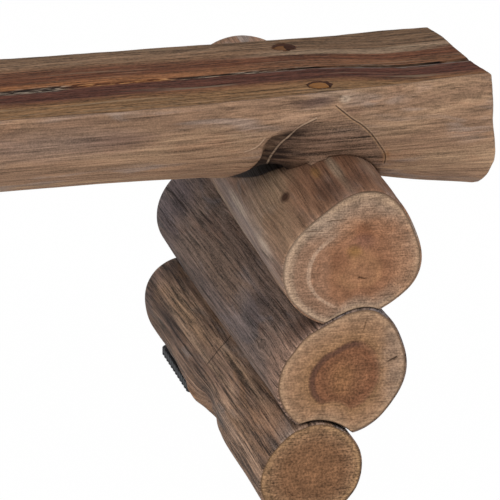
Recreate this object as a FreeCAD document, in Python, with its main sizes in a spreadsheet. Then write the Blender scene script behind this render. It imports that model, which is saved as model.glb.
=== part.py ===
"""Rustic log bench: a half-log seat saddled over two stacks of three coped cross logs.

Millimetres. X runs along the seat, Y across it towards the back, Z up from the floor.
The origin is on the floor, under the middle of the bench.
"""

import FreeCAD, Part
import os
import Sketcher

App = FreeCAD
V = App.Vector

OUT_FOLDER = "parts"
ALONG_Y = App.Rotation(V(1, 0, 0), 90)
ALONG_X_SEAM_UP = App.Rotation(V(0, 0, 1), 180) * App.Rotation(V(0, 1, 0), -90)
UPRIGHT = App.Rotation()
TURNED_DOWN = App.Rotation(V(1, 0, 0), 180)

# Driving sizes of the bench, in millimetres: name, value, what it is
SIZES = [
    # Seat: a half log, sawn flat on top
    ("seat_length", 1800, "length of the seat"),
    ("seat_over_saddle", 76.34, "wood between the top log and the sawn top"),
    ("pole_overrun", 30, "length by which a pole is longer than the log sawn from it"),
    ("saw_overrun", 20, "how far a saw or drill cut runs past the wood"),
    # Seat pole: a straight trunk that flares to the butt end on the right
    ("trunk_radius", 111, "radius of the straight trunk"),
    ("trunk_sink", -2, "axis of the trunk, below the sawn top"),
    ("trunk_axis_y", -89, "axis of the trunk, across the bench"),
    ("flare_length", 340, "length of the flared part at the butt end"),
    ("butt_radius", 100, "radius at the butt end"),
    ("butt_sink", 44, "axis at the butt end, below the sawn top"),
    ("butt_axis_y", -63, "axis at the butt end, across the bench"),
    # Pith check: the wedge-shaped crack in the middle of the sawn face
    ("check_axis_y", -102, "place of the crack across the bench"),
    ("check_length", 150, "length of the open crack from the butt end"),
    ("check_mouth", 5, "width of the crack at the end"),
    ("check_tip", 1, "width of the crack where it closes"),
    ("check_mouth_depth", 46, "depth of the crack at the end"),
    ("check_tip_depth", 6, "depth of the crack where it closes"),
    # Cross logs: length, and the stack's place along the bench
    ("log_length", 530, "length of every cross log"),
    ("stack_inset", 174, "from the seat's end to the middle of the top log's near end"),
    ("cope_gap", 0.3, "gap between a hollowed groove and the log in it"),
    # Top log; offsets are from the stack's place towards the bench's end
    ("top_radius", 75, "radius of the top log"),
    ("top_near_offset", 0, "near end of its axis"),
    ("top_near_cope", 22, "depth of the groove in its underside, near end"),
    ("top_far_offset", 16, "far end of its axis"),
    ("top_far_cope", 4, "depth of the groove in its underside, far end"),
    # Middle log
    ("middle_radius", 67, "radius of the middle log"),
    ("middle_near_offset", -9, "near end of its axis"),
    ("middle_near_cope", 7, "depth of the groove in its underside, near end"),
    ("middle_far_offset", -21, "far end of its axis"),
    ("middle_far_cope", 4, "depth of the groove in its underside, far end"),
    # Bottom log
    ("bottom_radius", 53, "radius of the bottom log"),
    ("bottom_near_offset", -40, "near end of its axis"),
    ("bottom_far_offset", -51, "far end of its axis"),
    ("planing_depth", 5, "wood planed off below, where the pads sit"),
    ("knot_radius", 17, "half height of the knot swelling low on the bottom log"),
    ("knot_half_length", 26, "half length of the knot swelling"),
    ("knot_place_y", 96, "place of the knot swelling across the bench"),
    ("knot_offset", -38, "place of the knot swelling, from the bottom log's middle"),
    ("knot_drop", 31, "place of the knot swelling, below the bottom log's axis"),
    # Axe-cut relief beside the saddle, on the side of the bench's middle
    ("relief_radius", 30, "radius of the axe cut beside the saddle"),
    ("relief_offset", -58, "place of the axe cut, from the stack's place"),
    ("relief_cover", 71, "wood between the axe cut and the sawn top"),
    # Seat screws, their washers and the plugs over them
    ("seat_screw_offset", -6, "place of the seat screws, from the stack's place"),
    ("seat_screw_front_y", -154, "front seat screw, across the bench"),
    ("seat_screw_back_y", -9, "back seat screw, across the bench"),
    ("seat_screw_length", 140, "length of a seat screw under its head"),
    ("plug_radius", 12.4, "radius of a wood plug"),
    ("plug_sink", 5, "depth of the plug's face below the sawn top"),
    ("plug_edge", 1, "bevel round a plug's face"),
    ("counterbore_depth", 31, "depth of the counterbore in the seat"),
    # Stack screws, driven upwards
    ("stack_screw_offset", -26, "place of the stack screws, from the stack's place"),
    ("stack_screw_reach", 75, "place of each stack screw, from the bench's long middle line"),
    ("stack_screw_length", 248, "length of a stack screw under its head"),
    ("stack_bore_depth", 32, "depth of the counterbore under the bottom log, above its flat"),
    # Coach screw and washer, common to all
    ("screw_radius", 5, "radius of a coach screw's shank"),
    ("screw_point", 12, "length of a coach screw's point"),
    ("screw_point_tip", 0.8, "radius of the blunt tip"),
    ("head_height", 6.5, "height of the hexagon head"),
    ("head_corner_radius", 9.8, "hexagon head, middle to corner"),
    ("washer_radius", 11, "outer radius of a washer"),
    ("washer_thickness", 2, "thickness of a washer"),
    ("screw_fit", 0.2, "radial gap round a screw, a washer bore and a plug"),
    # Rubber pad and its nails
    ("pad_width", 70, "width of a pad along the bench"),
    ("pad_length", 136, "length of a pad along the log"),
    ("pad_thickness", 10, "thickness of a pad"),
    ("pad_corner", 9, "rounding of a pad's corners"),
    ("pad_end_gap", 8, "from the end of the bottom log to the pad"),
    ("pad_offset", -4, "middle of a pad, from the bottom log's middle"),
    ("rib_pitch", 11, "spacing of the grooves across a pad's tread"),
    ("rib_groove_width", 4, "width of a groove"),
    ("rib_groove_depth", 3, "depth of a groove"),
    ("rib_count", 11, "grooves in a pad"),
    ("nail_radius", 1.6, "radius of a clout nail"),
    ("nail_head_radius", 4, "radius of a clout nail's head"),
    ("nail_head_height", 1.2, "thickness of a clout nail's head"),
    ("nail_sink", 4, "depth of the nail head above the pad's tread"),
    ("nail_length", 30, "length of a clout nail under its head"),
    ("nail_spacing", 88, "distance between the two nails of a pad"),
    ("nail_fit", 0.2, "radial gap round a nail"),
]

doc = App.newDocument("rustic_log_bench")
sheet = doc.addObject("Spreadsheet::Sheet", "sizes")
for row, (alias, value, meaning) in enumerate(SIZES, start=1):
    sheet.set(f"A{row}", meaning)
    sheet.set(f"B{row}", str(value))
    sheet.setAlias(f"B{row}", alias)
doc.recompute()

nodes = []


def size(alias):
    """Reads one driving size from the sheet."""
    return float(sheet.get(alias))


def bind(obj, **expressions):
    """Ties properties of an object to the sheet; a double underscore stands for a dot."""
    for prop, text in expressions.items():
        obj.setExpression(prop.replace("__", "."), text)


def put(obj, rotation, x="0", y="0", z="0"):
    """Turns an object and ties its place to the sheet."""
    obj.Placement = App.Placement(V(), rotation)
    bind(obj, Placement__Base__x=x, Placement__Base__y=y, Placement__Base__z=z)
    return obj


def add(kind, name, **properties):
    """Adds one feature with plain properties."""
    obj = doc.addObject(kind, name)
    for prop, value in properties.items():
        setattr(obj, prop, value)
    return obj


def box(name, rotation, x, y, z, length, width, height):
    """A box with its low corner at x, y, z."""
    solid = put(add("Part::Box", name), rotation, x, y, z)
    bind(solid, Length=length, Width=width, Height=height)
    return solid


def cylinder(name, rotation, x, y, z, radius, height):
    """A cylinder from x, y, z along its turned Z axis."""
    solid = put(add("Part::Cylinder", name), rotation, x, y, z)
    bind(solid, Radius=radius, Height=height)
    return solid


def cut(name, base, *groups):
    """The base less each group of tools in turn; the tools of a group are joined first."""
    for index, tools in enumerate(groups):
        tool = tools[0]
        if len(tools) > 1:
            tool = add("Part::MultiFuse", f"{name}_tools_{index}", Shapes=tools, Refine=False)
        base = add("Part::Cut", f"{name}_cut_{index}", Base=base, Tool=tool, Refine=False)
    return base


def node(label, feature):
    """Names a finished sub-part."""
    feature.Label = label
    nodes.append(feature)
    return feature


def ring(name, x, y, z, radius):
    """A round section of a pole that runs along X."""
    section = put(add("Part::Circle", name), ALONG_X_SEAM_UP, x, y, z)
    bind(section, Radius=radius)
    return section


def straight_pole(name, near, far, radius):
    """A straight round pole between two points of its axis, each given as x, y, z."""
    run_x, run_y, run_z = (f"({end} - ({start}))" for start, end in zip(near, far))
    length = f"sqrt({run_x}^2 + {run_y}^2 + {run_z}^2)"
    start = f"vector({near[0]}; {near[1]}; {near[2]})"
    turn = f"rotation(vector(-{run_y}; {run_x}; 0); acos({run_z} / {length}))"
    solid = add("Part::Cylinder", name)
    bind(solid, Placement=f"placement({start}; {turn})", Radius=radius, Height=length)
    return solid


# Cross logs
STACK_PLACE = "(sizes.seat_length / 2 - sizes.stack_inset)"
HALF_LOG = "sizes.log_length / 2"
POLE_END_Y = {
    "near": "-(sizes.log_length / 2 + sizes.pole_overrun)",
    "far": "sizes.log_length / 2 + sizes.pole_overrun",
}
BOTTOM_HEIGHT = "(sizes.pad_thickness + sizes.bottom_radius - sizes.planing_depth)"
BOTTOM_OFFSET = "(sizes.bottom_near_offset + sizes.bottom_far_offset) / 2"


def axis_height(level, where):
    """The height of a log's axis at one end: each log sits in its groove on the log below."""
    if level == "bottom":
        return BOTTOM_HEIGHT
    below = {"middle": "bottom", "top": "middle"}[level]
    reach = f"(sizes.{level}_radius + sizes.{below}_radius - sizes.{level}_{where}_cope)"
    aside = f"(sizes.{level}_{where}_offset - sizes.{below}_{where}_offset)"
    return f"({axis_height(below, where)} + sqrt({reach}^2 - {aside}^2))"


TOP_HEIGHT = f"({axis_height('top', 'near')} + {axis_height('top', 'far')}) / 2"
SEAT_TOP = f"({TOP_HEIGHT} + sizes.top_radius + sizes.seat_over_saddle)"


def log_pole(name, side, level, grow="0"):
    """The pole of one cross log, longer than the log at both ends."""
    ends = []
    for where in ("near", "far"):
        x = f"{side} * ({STACK_PLACE} + sizes.{level}_{where}_offset)"
        ends.append((x, POLE_END_Y[where], axis_height(level, where)))
    return straight_pole(name, *ends, f"sizes.{level}_radius + {grow}")


def sawn_log(name, side, level):
    """A pole sawn to the length of a cross log."""
    slab = box(
        name + "_saw", UPRIGHT,
        "-sizes.seat_length", f"-{HALF_LOG}", f"-{SEAT_TOP}",
        "2 * sizes.seat_length", "sizes.log_length", f"3 * {SEAT_TOP}",
    )
    blank = log_pole(name + "_pole", side, level)
    return add("Part::MultiCommon", name + "_sawn", Shapes=[blank, slab], Refine=False)


def groove_tool(name, side, level):
    """The pole of a log, grown by the gap, that hollows what sits on it."""
    return log_pole(name, side, level, "sizes.cope_gap")


# Seat screws and stack screws
SEAT_SEAT_Z = f"{SEAT_TOP} - sizes.counterbore_depth"
STACK_SEAT_Z = "sizes.pad_thickness + sizes.stack_bore_depth"
SCREW_HOLE = "sizes.screw_radius + sizes.screw_fit"
BORE = "sizes.plug_radius + sizes.screw_fit"


def coach_screw(label, rotation, facing, x, y, seat_z, length):
    """A hexagon-headed coach screw: head, shank and point, driven along its turned Z axis.

    facing is the sign of that axis along Z; seat_z is where the washer rests on the wood.
    """
    under_head = f"{seat_z} - {facing} * sizes.washer_thickness"
    head = put(add("Part::Prism", label + "_head", Polygon=6), rotation, x, y,
               f"{under_head} - {facing} * sizes.head_height")
    bind(head, Circumradius="sizes.head_corner_radius", Height="sizes.head_height")
    shank_length = f"{length} - sizes.screw_point"
    shank = cylinder(label + "_shank", rotation, x, y, under_head, "sizes.screw_radius", shank_length)
    point = put(add("Part::Cone", label + "_point"), rotation, x, y,
                f"{under_head} + {facing} * ({shank_length})")
    bind(point, Radius1="sizes.screw_radius", Radius2="sizes.screw_point_tip", Height="sizes.screw_point")
    return node(label, add("Part::MultiFuse", label, Shapes=[head, shank, point]))


def washer(label, rotation, facing, x, y, seat_z):
    """A flat washer between the wood and the screw's head."""
    low = f"{seat_z} - {facing} * sizes.washer_thickness"
    disc = cylinder(label + "_disc", rotation, x, y, low, "sizes.washer_radius", "sizes.washer_thickness")
    hole = cylinder(label + "_hole", rotation, x, y, f"{low} - {facing} * sizes.saw_overrun",
                    SCREW_HOLE, "sizes.washer_thickness + 2 * sizes.saw_overrun")
    return node(label, cut(label, disc, [hole]))


def plug(label, x, y):
    """A turned wood plug over a seat screw, its face sunk below the sawn top."""
    under_plug = "(sizes.washer_thickness + sizes.head_height + sizes.screw_fit)"
    bottom = f"{SEAT_SEAT_Z} + {under_plug}"
    height = f"sizes.counterbore_depth - sizes.plug_sink - {under_plug}"
    body = cylinder(label + "_body", UPRIGHT, x, y, bottom,
                    "sizes.plug_radius", f"{height} - sizes.plug_edge")
    face = put(add("Part::Cone", label + "_face"), UPRIGHT, x, y, f"{bottom} + {height} - sizes.plug_edge")
    bind(face, Radius1="sizes.plug_radius", Radius2="sizes.plug_radius - sizes.plug_edge",
         Height="sizes.plug_edge")
    return node(label, add("Part::MultiFuse", label, Shapes=[body, face]))


# Rubber pads
def pad_low_y(which):
    """The low end of a pad: front pads start at the log's near end, back pads end at its far end."""
    near = f"-{HALF_LOG} + sizes.pad_end_gap"
    far = f"{HALF_LOG} - sizes.pad_end_gap - sizes.pad_length"
    return near if which == "front" else far


def pad_middle_x(side):
    """The middle of a pad along the bench."""
    return f"{side} * ({STACK_PLACE} + {BOTTOM_OFFSET} + sizes.pad_offset)"


def nail_places(side, which):
    """The two nails of a pad, on its long middle line."""
    middle_y = f"{pad_low_y(which)} + sizes.pad_length / 2"
    return [(pad_middle_x(side), f"{middle_y} + {sign} * sizes.nail_spacing / 2") for sign in ("-1", "1")]


def rubber_pad(label, side, which):
    """A ribbed rubber pad: a rounded slab with a row of grooves across its tread and two sunk nail holes."""
    body = add("PartDesign::Body", label + "_blank")
    planes = {plane.Role: plane for plane in body.Origin.OriginFeatures}
    outline = body.newObject("Sketcher::SketchObject", label + "_outline")
    outline.AttachmentSupport = (planes["XY_Plane"], [""])
    outline.MapMode = "FlatFace"
    half = size("pad_width") / 2
    length = size("pad_length")
    corners = [V(-half, 0), V(half, 0), V(half, length), V(-half, length)]
    for index in range(4):
        outline.addGeometry(Part.LineSegment(corners[index], corners[(index + 1) % 4]), False)
    for index in range(4):
        outline.addConstraint(Sketcher.Constraint("Coincident", index, 2, (index + 1) % 4, 1))
    for kind, edge in (("Horizontal", 0), ("Vertical", 1), ("Horizontal", 2), ("Vertical", 3)):
        outline.addConstraint(Sketcher.Constraint(kind, edge))
    outline.addConstraint(Sketcher.Constraint("Symmetric", 0, 1, 0, 2, -1, 1))
    width_row = outline.addConstraint(Sketcher.Constraint("DistanceX", 0, 1, 0, 2, size("pad_width")))
    length_row = outline.addConstraint(Sketcher.Constraint("DistanceY", 1, 1, 1, 2, length))
    outline.setExpression(f"Constraints[{width_row}]", "sizes.pad_width")
    outline.setExpression(f"Constraints[{length_row}]", "sizes.pad_length")
    slab = body.newObject("PartDesign::Pad", label + "_slab")
    slab.Profile = outline
    bind(slab, Length="sizes.pad_thickness")
    doc.recompute()
    upright = [
        f"Edge{i}" for i, edge in enumerate(slab.Shape.Edges, start=1)
        if abs(edge.BoundBox.ZLength - size("pad_thickness")) < size("cope_gap")
    ]
    corner = body.newObject("PartDesign::Fillet", label + "_corner")
    corner.Base = (slab, upright)
    bind(corner, Radius="sizes.pad_corner")
    body.Tip = corner
    placed = put(body, UPRIGHT, pad_middle_x(side), pad_low_y(which))
    grooves = []
    first = f"{pad_low_y(which)} + (sizes.pad_length - (sizes.rib_count - 1) * sizes.rib_pitch) / 2"
    for index in range(int(size("rib_count"))):
        grooves.append(box(
            f"{label}_groove_{index}", UPRIGHT,
            f"{pad_middle_x(side)} - sizes.pad_width",
            f"{first} + {index} * sizes.rib_pitch - sizes.rib_groove_width / 2",
            "-sizes.saw_overrun",
            "2 * sizes.pad_width", "sizes.rib_groove_width", "sizes.rib_groove_depth + sizes.saw_overrun",
        ))
    for index, (x, y) in enumerate(nail_places(side, which)):
        grooves.append(cylinder(f"{label}_sunk_{index}", UPRIGHT, x, y, "-sizes.saw_overrun",
                                "sizes.nail_head_radius + sizes.nail_fit",
                                "sizes.nail_sink + sizes.saw_overrun"))
        grooves.append(cylinder(f"{label}_hole_{index}", UPRIGHT, x, y, "0",
                                "sizes.nail_radius + sizes.nail_fit", "2 * sizes.pad_thickness"))
    return node(label, cut(label + "_cut", placed, grooves))


def pad_nails(label, side, which):
    """The two clout nails of a pad, each a head and a shank."""
    nails = []
    for index, (x, y) in enumerate(nail_places(side, which)):
        head_z = "sizes.nail_sink - sizes.nail_head_height"
        head = cylinder(f"{label}_head_{index}", UPRIGHT, x, y, head_z,
                        "sizes.nail_head_radius", "sizes.nail_head_height")
        shank = cylinder(f"{label}_shank_{index}", UPRIGHT, x, y, "sizes.nail_sink",
                         "sizes.nail_radius", "sizes.nail_length")
        nails.append(add("Part::MultiFuse", f"{label}_{index}", Shapes=[head, shank]))
    return node(label, add("Part::Compound", label, Links=nails))


# The two stacks
def stack_holes(name, x, lift):
    """The shafts of the two stack screws through the logs, from the floor up to their tips."""
    tip = f"{STACK_SEAT_Z} - sizes.washer_thickness + sizes.stack_screw_length"
    places = [("front", "-sizes.stack_screw_reach"), ("back", "sizes.stack_screw_reach")]
    shafts = [
        cylinder(f"{name}_{where}", UPRIGHT, x, y, "-sizes.saw_overrun", SCREW_HOLE,
                 f"{tip} + sizes.screw_fit + sizes.saw_overrun")
        for where, y in places
    ]
    if lift:
        shafts += [
            cylinder(f"{name}_{where}_bore", UPRIGHT, x, y, "-sizes.saw_overrun", BORE,
                     f"{STACK_SEAT_Z} + sizes.saw_overrun")
            for where, y in places
        ]
    return shafts


def build_stack(side_name, side):
    """The three cross logs of one stack with their screws, washers, pads and nails."""
    bottom_middle_x = f"{side} * ({STACK_PLACE} + {BOTTOM_OFFSET})"
    screw_x = f"{side} * ({STACK_PLACE} + sizes.stack_screw_offset)"
    seat_screw_x = f"{side} * ({STACK_PLACE} + sizes.seat_screw_offset)"

    # Bottom log: planed flat below, with a knot swelling low on its inner side
    bottom_label = side_name + "_bottom_log"
    round_log = sawn_log(bottom_label, side, "bottom")
    knot = put(add("Part::Ellipsoid", bottom_label + "_knot"), UPRIGHT,
               f"{bottom_middle_x} + {side} * sizes.knot_offset", "sizes.knot_place_y",
               f"{BOTTOM_HEIGHT} - sizes.knot_drop")
    bind(knot, Radius1="sizes.knot_radius", Radius2="sizes.knot_radius", Radius3="sizes.knot_half_length")
    with_knot = add("Part::MultiFuse", bottom_label + "_with_knot", Shapes=[round_log, knot])
    plane = box(bottom_label + "_plane", UPRIGHT, "-sizes.seat_length", "-sizes.log_length",
                f"-{SEAT_TOP}", "2 * sizes.seat_length", "2 * sizes.log_length",
                f"{SEAT_TOP} + sizes.pad_thickness")
    nail_holes = [
        cylinder(f"{bottom_label}_{which}_nail_{index}", UPRIGHT, x, y, "0",
                 "sizes.nail_radius + sizes.nail_fit",
                 "sizes.nail_sink + sizes.nail_length + sizes.nail_fit")
        for which in ("front", "back")
        for index, (x, y) in enumerate(nail_places(side, which))
    ]
    node(bottom_label, cut(bottom_label, with_knot, [plane],
                           stack_holes(bottom_label + "_shaft", screw_x, True), nail_holes))

    # Middle log: hollowed along its underside over the bottom log
    middle_label = side_name + "_middle_log"
    node(middle_label, cut(
        middle_label, sawn_log(middle_label, side, "middle"),
        [groove_tool(middle_label + "_groove", side, "bottom")],
        stack_holes(middle_label + "_shaft", screw_x, False),
    ))

    # Top log: hollowed over the middle log, and drilled from above for the seat screws
    top_label = side_name + "_top_log"
    seat_tip = f"{SEAT_SEAT_Z} + sizes.washer_thickness - sizes.seat_screw_length - sizes.screw_fit"
    seat_holes = [
        cylinder(f"{top_label}_{where}_pilot", UPRIGHT, seat_screw_x, f"sizes.seat_screw_{where}_y", seat_tip,
                 SCREW_HOLE, f"{SEAT_TOP} - ({seat_tip})")
        for where in ("front", "back")
    ]
    node(top_label, cut(
        top_label, sawn_log(top_label, side, "top"),
        [groove_tool(top_label + "_groove", side, "middle")],
        stack_holes(top_label + "_shaft", screw_x, False), seat_holes,
    ))

    for where in ("front", "back"):
        seat_y = f"sizes.seat_screw_{where}_y"
        coach_screw(f"{side_name}_{where}_seat_screw", TURNED_DOWN, "-1", seat_screw_x, seat_y,
                    SEAT_SEAT_Z, "sizes.seat_screw_length")
        washer(f"{side_name}_{where}_seat_washer", TURNED_DOWN, "-1", seat_screw_x, seat_y, SEAT_SEAT_Z)
        plug(f"{side_name}_{where}_plug", seat_screw_x, seat_y)
        reach = "-sizes.stack_screw_reach" if where == "front" else "sizes.stack_screw_reach"
        coach_screw(f"{side_name}_{where}_stack_screw", UPRIGHT, "1", screw_x, reach,
                    STACK_SEAT_Z, "sizes.stack_screw_length")
        washer(f"{side_name}_{where}_stack_washer", UPRIGHT, "1", screw_x, reach, STACK_SEAT_Z)
        rubber_pad(f"{side_name}_{where}_pad", side, where)
        pad_nails(f"{side_name}_{where}_pad_nails", side, where)


# The seat
def build_seat():
    """The half-log seat: a pole sawn flat and to length, notched over both stacks and drilled."""
    trunk = put(add("Part::Cylinder", "seat_trunk"), ALONG_X_SEAM_UP,
                "-(sizes.seat_length / 2 + sizes.pole_overrun)", "sizes.trunk_axis_y",
                f"{SEAT_TOP} - sizes.trunk_sink")
    bind(trunk, Radius="sizes.trunk_radius",
         Height="sizes.seat_length + sizes.pole_overrun - sizes.flare_length")
    flare = add("Part::Loft", "seat_flare", Solid=True, Ruled=True, Sections=[
        ring("seat_flare_root", "sizes.seat_length / 2 - sizes.flare_length", "sizes.trunk_axis_y",
             f"{SEAT_TOP} - sizes.trunk_sink", "sizes.trunk_radius"),
        ring("seat_flare_butt", "sizes.seat_length / 2 + sizes.pole_overrun", "sizes.butt_axis_y",
             f"{SEAT_TOP} - sizes.butt_sink", "sizes.butt_radius"),
    ])
    whole_log = add("Part::MultiFuse", "seat_whole_log", Shapes=[trunk, flare], Refine=False)
    below_top = box("seat_saw", UPRIGHT, "-sizes.seat_length / 2", "-sizes.log_length", "0",
                    "sizes.seat_length", "2 * sizes.log_length", SEAT_TOP)
    half_log = add("Part::MultiCommon", "seat_half_log", Shapes=[whole_log, below_top], Refine=False)

    saddles = []
    reliefs = []
    screw_holes = []
    for side_name, side in (("right", "1"), ("left", "-1")):
        screw_x = f"{side} * ({STACK_PLACE} + sizes.seat_screw_offset)"
        saddles.append([groove_tool(f"seat_{side_name}_saddle", side, "top")])
        reliefs.append(cylinder(
            f"seat_{side_name}_relief", ALONG_Y,
            f"{side} * ({STACK_PLACE} + sizes.relief_offset)", "sizes.log_length",
            f"{SEAT_TOP} - sizes.relief_cover - sizes.relief_radius", "sizes.relief_radius",
            "2 * sizes.log_length",
        ))
        for where in ("front", "back"):
            name = f"seat_{side_name}_{where}"
            y = f"sizes.seat_screw_{where}_y"
            screw_holes.append(cylinder(name + "_bore", UPRIGHT, screw_x, y, SEAT_SEAT_Z, BORE,
                                        "sizes.counterbore_depth + sizes.saw_overrun"))
            screw_holes.append(cylinder(name + "_hole", UPRIGHT, screw_x, y, "0", SCREW_HOLE,
                                        SEAT_TOP))

    # The open part of the pith check, a wedge from its closed tip to its mouth at the butt end
    check = put(add("Part::Wedge", "seat_check"), App.Rotation(V(0, 0, 1), -90),
                "sizes.seat_length / 2 - sizes.check_length", "sizes.check_axis_y", SEAT_TOP)
    bind(
        check,
        Xmin="-sizes.check_tip / 2", Xmax="sizes.check_tip / 2",
        X2min="-sizes.check_mouth / 2", X2max="sizes.check_mouth / 2",
        Ymin="0", Ymax="sizes.check_length + sizes.saw_overrun",
        Zmin="-sizes.check_tip_depth", Zmax="sizes.saw_overrun",
        Z2min="-sizes.check_mouth_depth", Z2max="sizes.saw_overrun",
    )
    node("seat_log", cut("seat_log", half_log, screw_holes, [check], reliefs, *saddles))


def faults():
    """Every feature that failed, and every sub-part whose shape can't be used."""
    found = [f"{obj.Name}: {obj.State}" for obj in doc.Objects if {"Invalid", "Error"} & set(obj.State)]
    for feature in nodes:
        shape = feature.Shape
        if shape.isNull() or not shape.isValid() or not shape.Solids:
            found.append(f"{feature.Label}: shape not usable")
    return found


build_seat()
for stack_name, stack_side in (("right", "1"), ("left", "-1")):
    build_stack(stack_name, stack_side)
doc.recompute()

problems = faults()
if problems:
    raise SystemExit("not written: " + "; ".join(problems))

os.makedirs(OUT_FOLDER, exist_ok=True)
for feature in nodes:
    feature.Shape.exportStep(os.path.join(OUT_FOLDER, feature.Label + ".step"))
    corners = feature.Shape.BoundBox
    print(f"{feature.Label}: {len(feature.Shape.Solids)} solid(s), {feature.Shape.Volume:.0f} mm3, "
          f"x {corners.XMin:.1f}..{corners.XMax:.1f} y {corners.YMin:.1f}..{corners.YMax:.1f} "
          f"z {corners.ZMin:.1f}..{corners.ZMax:.1f}")
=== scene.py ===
"""Rustic log bench: a half-log seat saddled over two stacks of three cross logs, on white.

The object stands on the floor at z = 0, with X along the seat, Y across it towards the back and Z up. Sizes
are millimetres until a mesh is made; meshes are metres. The right stack is the one in the photograph.
"""

import logging  # noqa: E402
import math  # noqa: E402
from dataclasses import dataclass, field, replace  # noqa: E402
from enum import Enum  # noqa: E402

import bpy  # noqa: E402
import numpy as np  # noqa: E402
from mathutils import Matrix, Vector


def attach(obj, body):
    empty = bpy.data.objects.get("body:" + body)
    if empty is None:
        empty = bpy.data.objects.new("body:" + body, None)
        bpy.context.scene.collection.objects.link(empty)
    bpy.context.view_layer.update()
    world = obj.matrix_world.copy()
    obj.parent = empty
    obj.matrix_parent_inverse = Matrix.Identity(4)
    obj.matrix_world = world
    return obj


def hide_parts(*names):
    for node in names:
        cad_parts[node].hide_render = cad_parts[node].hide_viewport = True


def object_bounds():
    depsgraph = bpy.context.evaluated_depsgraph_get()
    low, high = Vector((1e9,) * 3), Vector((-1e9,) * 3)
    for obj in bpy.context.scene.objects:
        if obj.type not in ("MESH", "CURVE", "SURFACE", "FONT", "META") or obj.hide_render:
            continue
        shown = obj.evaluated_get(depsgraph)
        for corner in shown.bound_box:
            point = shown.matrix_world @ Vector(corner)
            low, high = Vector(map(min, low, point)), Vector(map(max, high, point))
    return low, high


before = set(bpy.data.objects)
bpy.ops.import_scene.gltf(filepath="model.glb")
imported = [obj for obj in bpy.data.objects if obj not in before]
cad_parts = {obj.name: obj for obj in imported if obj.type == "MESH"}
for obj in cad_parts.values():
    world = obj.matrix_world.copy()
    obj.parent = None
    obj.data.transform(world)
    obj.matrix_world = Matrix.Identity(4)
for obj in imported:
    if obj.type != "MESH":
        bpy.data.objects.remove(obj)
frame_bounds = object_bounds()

log = logging.getLogger("rustic_log_bench")
Array = np.ndarray
Point = tuple[float, float]

MM = 0.001
LOW, HIGH = frame_bounds
SEAT_LENGTH = round((HIGH[0] - LOW[0]) / MM, 1)
SEAT_TOP = round(HIGH[2] / MM, 1)
LOG_LENGTH = round((HIGH[1] - LOW[1]) / MM, 1)
POLE_REACH = 295.0
PAD_THICKNESS = 10.0
FIT_GAP = 0.3


# Random fields, worked out on whole arrays


_rng = np.random.default_rng(20)
_SHUFFLE = _rng.permutation(1024)
_VALUES = _rng.random(1024)


def value_noise(u: Array, v: Array, seed: int = 0, period: int = 0) -> Array:
    """Smooth random field between 0 and 1.

    Random values sit on a square lattice one unit apart, and each point takes the smoothly weighted mean
    of the four around it.

    Args:
        u: Place across, in cells.
        v: Place along, in cells.
        seed: Picks another field.
        period: Cells after which the field repeats in u, or 0.

    Returns:
        The field at each point.
    """
    u, v = np.broadcast_arrays(np.asarray(u, float), np.asarray(v, float))
    cell_u = np.floor(u).astype(int)
    cell_v = np.floor(v).astype(int)
    part_u = u - cell_u
    part_v = v - cell_v
    part_u = part_u * part_u * (3 - 2 * part_u)
    part_v = part_v * part_v * (3 - 2 * part_v)

    def corner(a: Array, b: Array) -> Array:
        if period:
            a = a % period
        return _VALUES[(_SHUFFLE[(_SHUFFLE[a & 1023] + b) & 1023] + seed * 37) & 1023]

    low = corner(cell_u, cell_v) * (1 - part_u) + corner(cell_u + 1, cell_v) * part_u
    high = corner(cell_u, cell_v + 1) * (1 - part_u) + corner(cell_u + 1, cell_v + 1) * part_u
    return low * (1 - part_v) + high * part_v


def rough(u: Array, v: Array, seed: int = 0, period: int = 0, octaves: int = 3) -> Array:
    """Value noise in octaves, each of half the size and half the height, centred on 0, from about -1 to 1.

    Args:
        u: Place across, in cells.
        v: Place along, in cells.
        seed: Picks another field.
        period: Cells after which the field repeats in u, or 0.
        octaves: How many fields are added.

    Returns:
        The sum at each point.
    """
    total = np.zeros(np.broadcast(u, v).shape)
    for octave in range(octaves):
        step = 2**octave
        total += (value_noise(u * step, v * step, seed + octave, period * step) - 0.5) / step
    return total * 1.4


def smooth_step(x: Array, low: float, high: float) -> Array:
    """0 below low, 1 above high, and a smooth curve between."""
    t = np.clip((np.asarray(x, float) - low) / (high - low), 0.0, 1.0)
    return t * t * (3 - 2 * t)


def smooth_through(x: Array, places: tuple[float, ...], values: tuple[float, ...]) -> Array:
    """Smooth curve through given values, held at both ends.

    It is made of cubic pieces, and its slope at each place is the mean of the slopes beside it.

    Args:
        x: Where the curve is read.
        places: The places of the values, in rising order.
        values: The values.

    Returns:
        The curve at each x.
    """
    xs = np.asarray(places, float)
    ys = np.asarray(values, float)
    slopes = np.diff(ys) / np.diff(xs)
    ends = np.concatenate([[slopes[0]], (slopes[1:] + slopes[:-1]) / 2, [slopes[-1]]])
    x = np.clip(x, xs[0], xs[-1])
    i = np.clip(np.searchsorted(xs, x) - 1, 0, len(xs) - 2)
    h = xs[i + 1] - xs[i]
    t = (x - xs[i]) / h
    return (
        ys[i] * (1 + 2 * t) * (1 - t) ** 2
        + ys[i + 1] * t * t * (3 - 2 * t)
        + h * ends[i] * t * (1 - t) ** 2
        - h * ends[i + 1] * t * t * (1 - t)
    )


def around(theta: Array, values: tuple[float, ...]) -> Array:
    """Smooth closed curve through values at equal steps round a circle, as a sum of their harmonics.

    Args:
        theta: Angles at which it is read.
        values: The values, the first at angle 0.

    Returns:
        The curve at each angle.
    """
    parts = np.fft.rfft(np.asarray(values, float)) / len(values)
    total = np.full(np.shape(theta), parts[0].real)
    for k in range(1, len(parts)):
        weight = 1.0 if 2 * k == len(values) else 2.0
        total = total + weight * (parts[k].real * np.cos(k * theta) - parts[k].imag * np.sin(k * theta))
    return total


# Meshes


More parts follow.
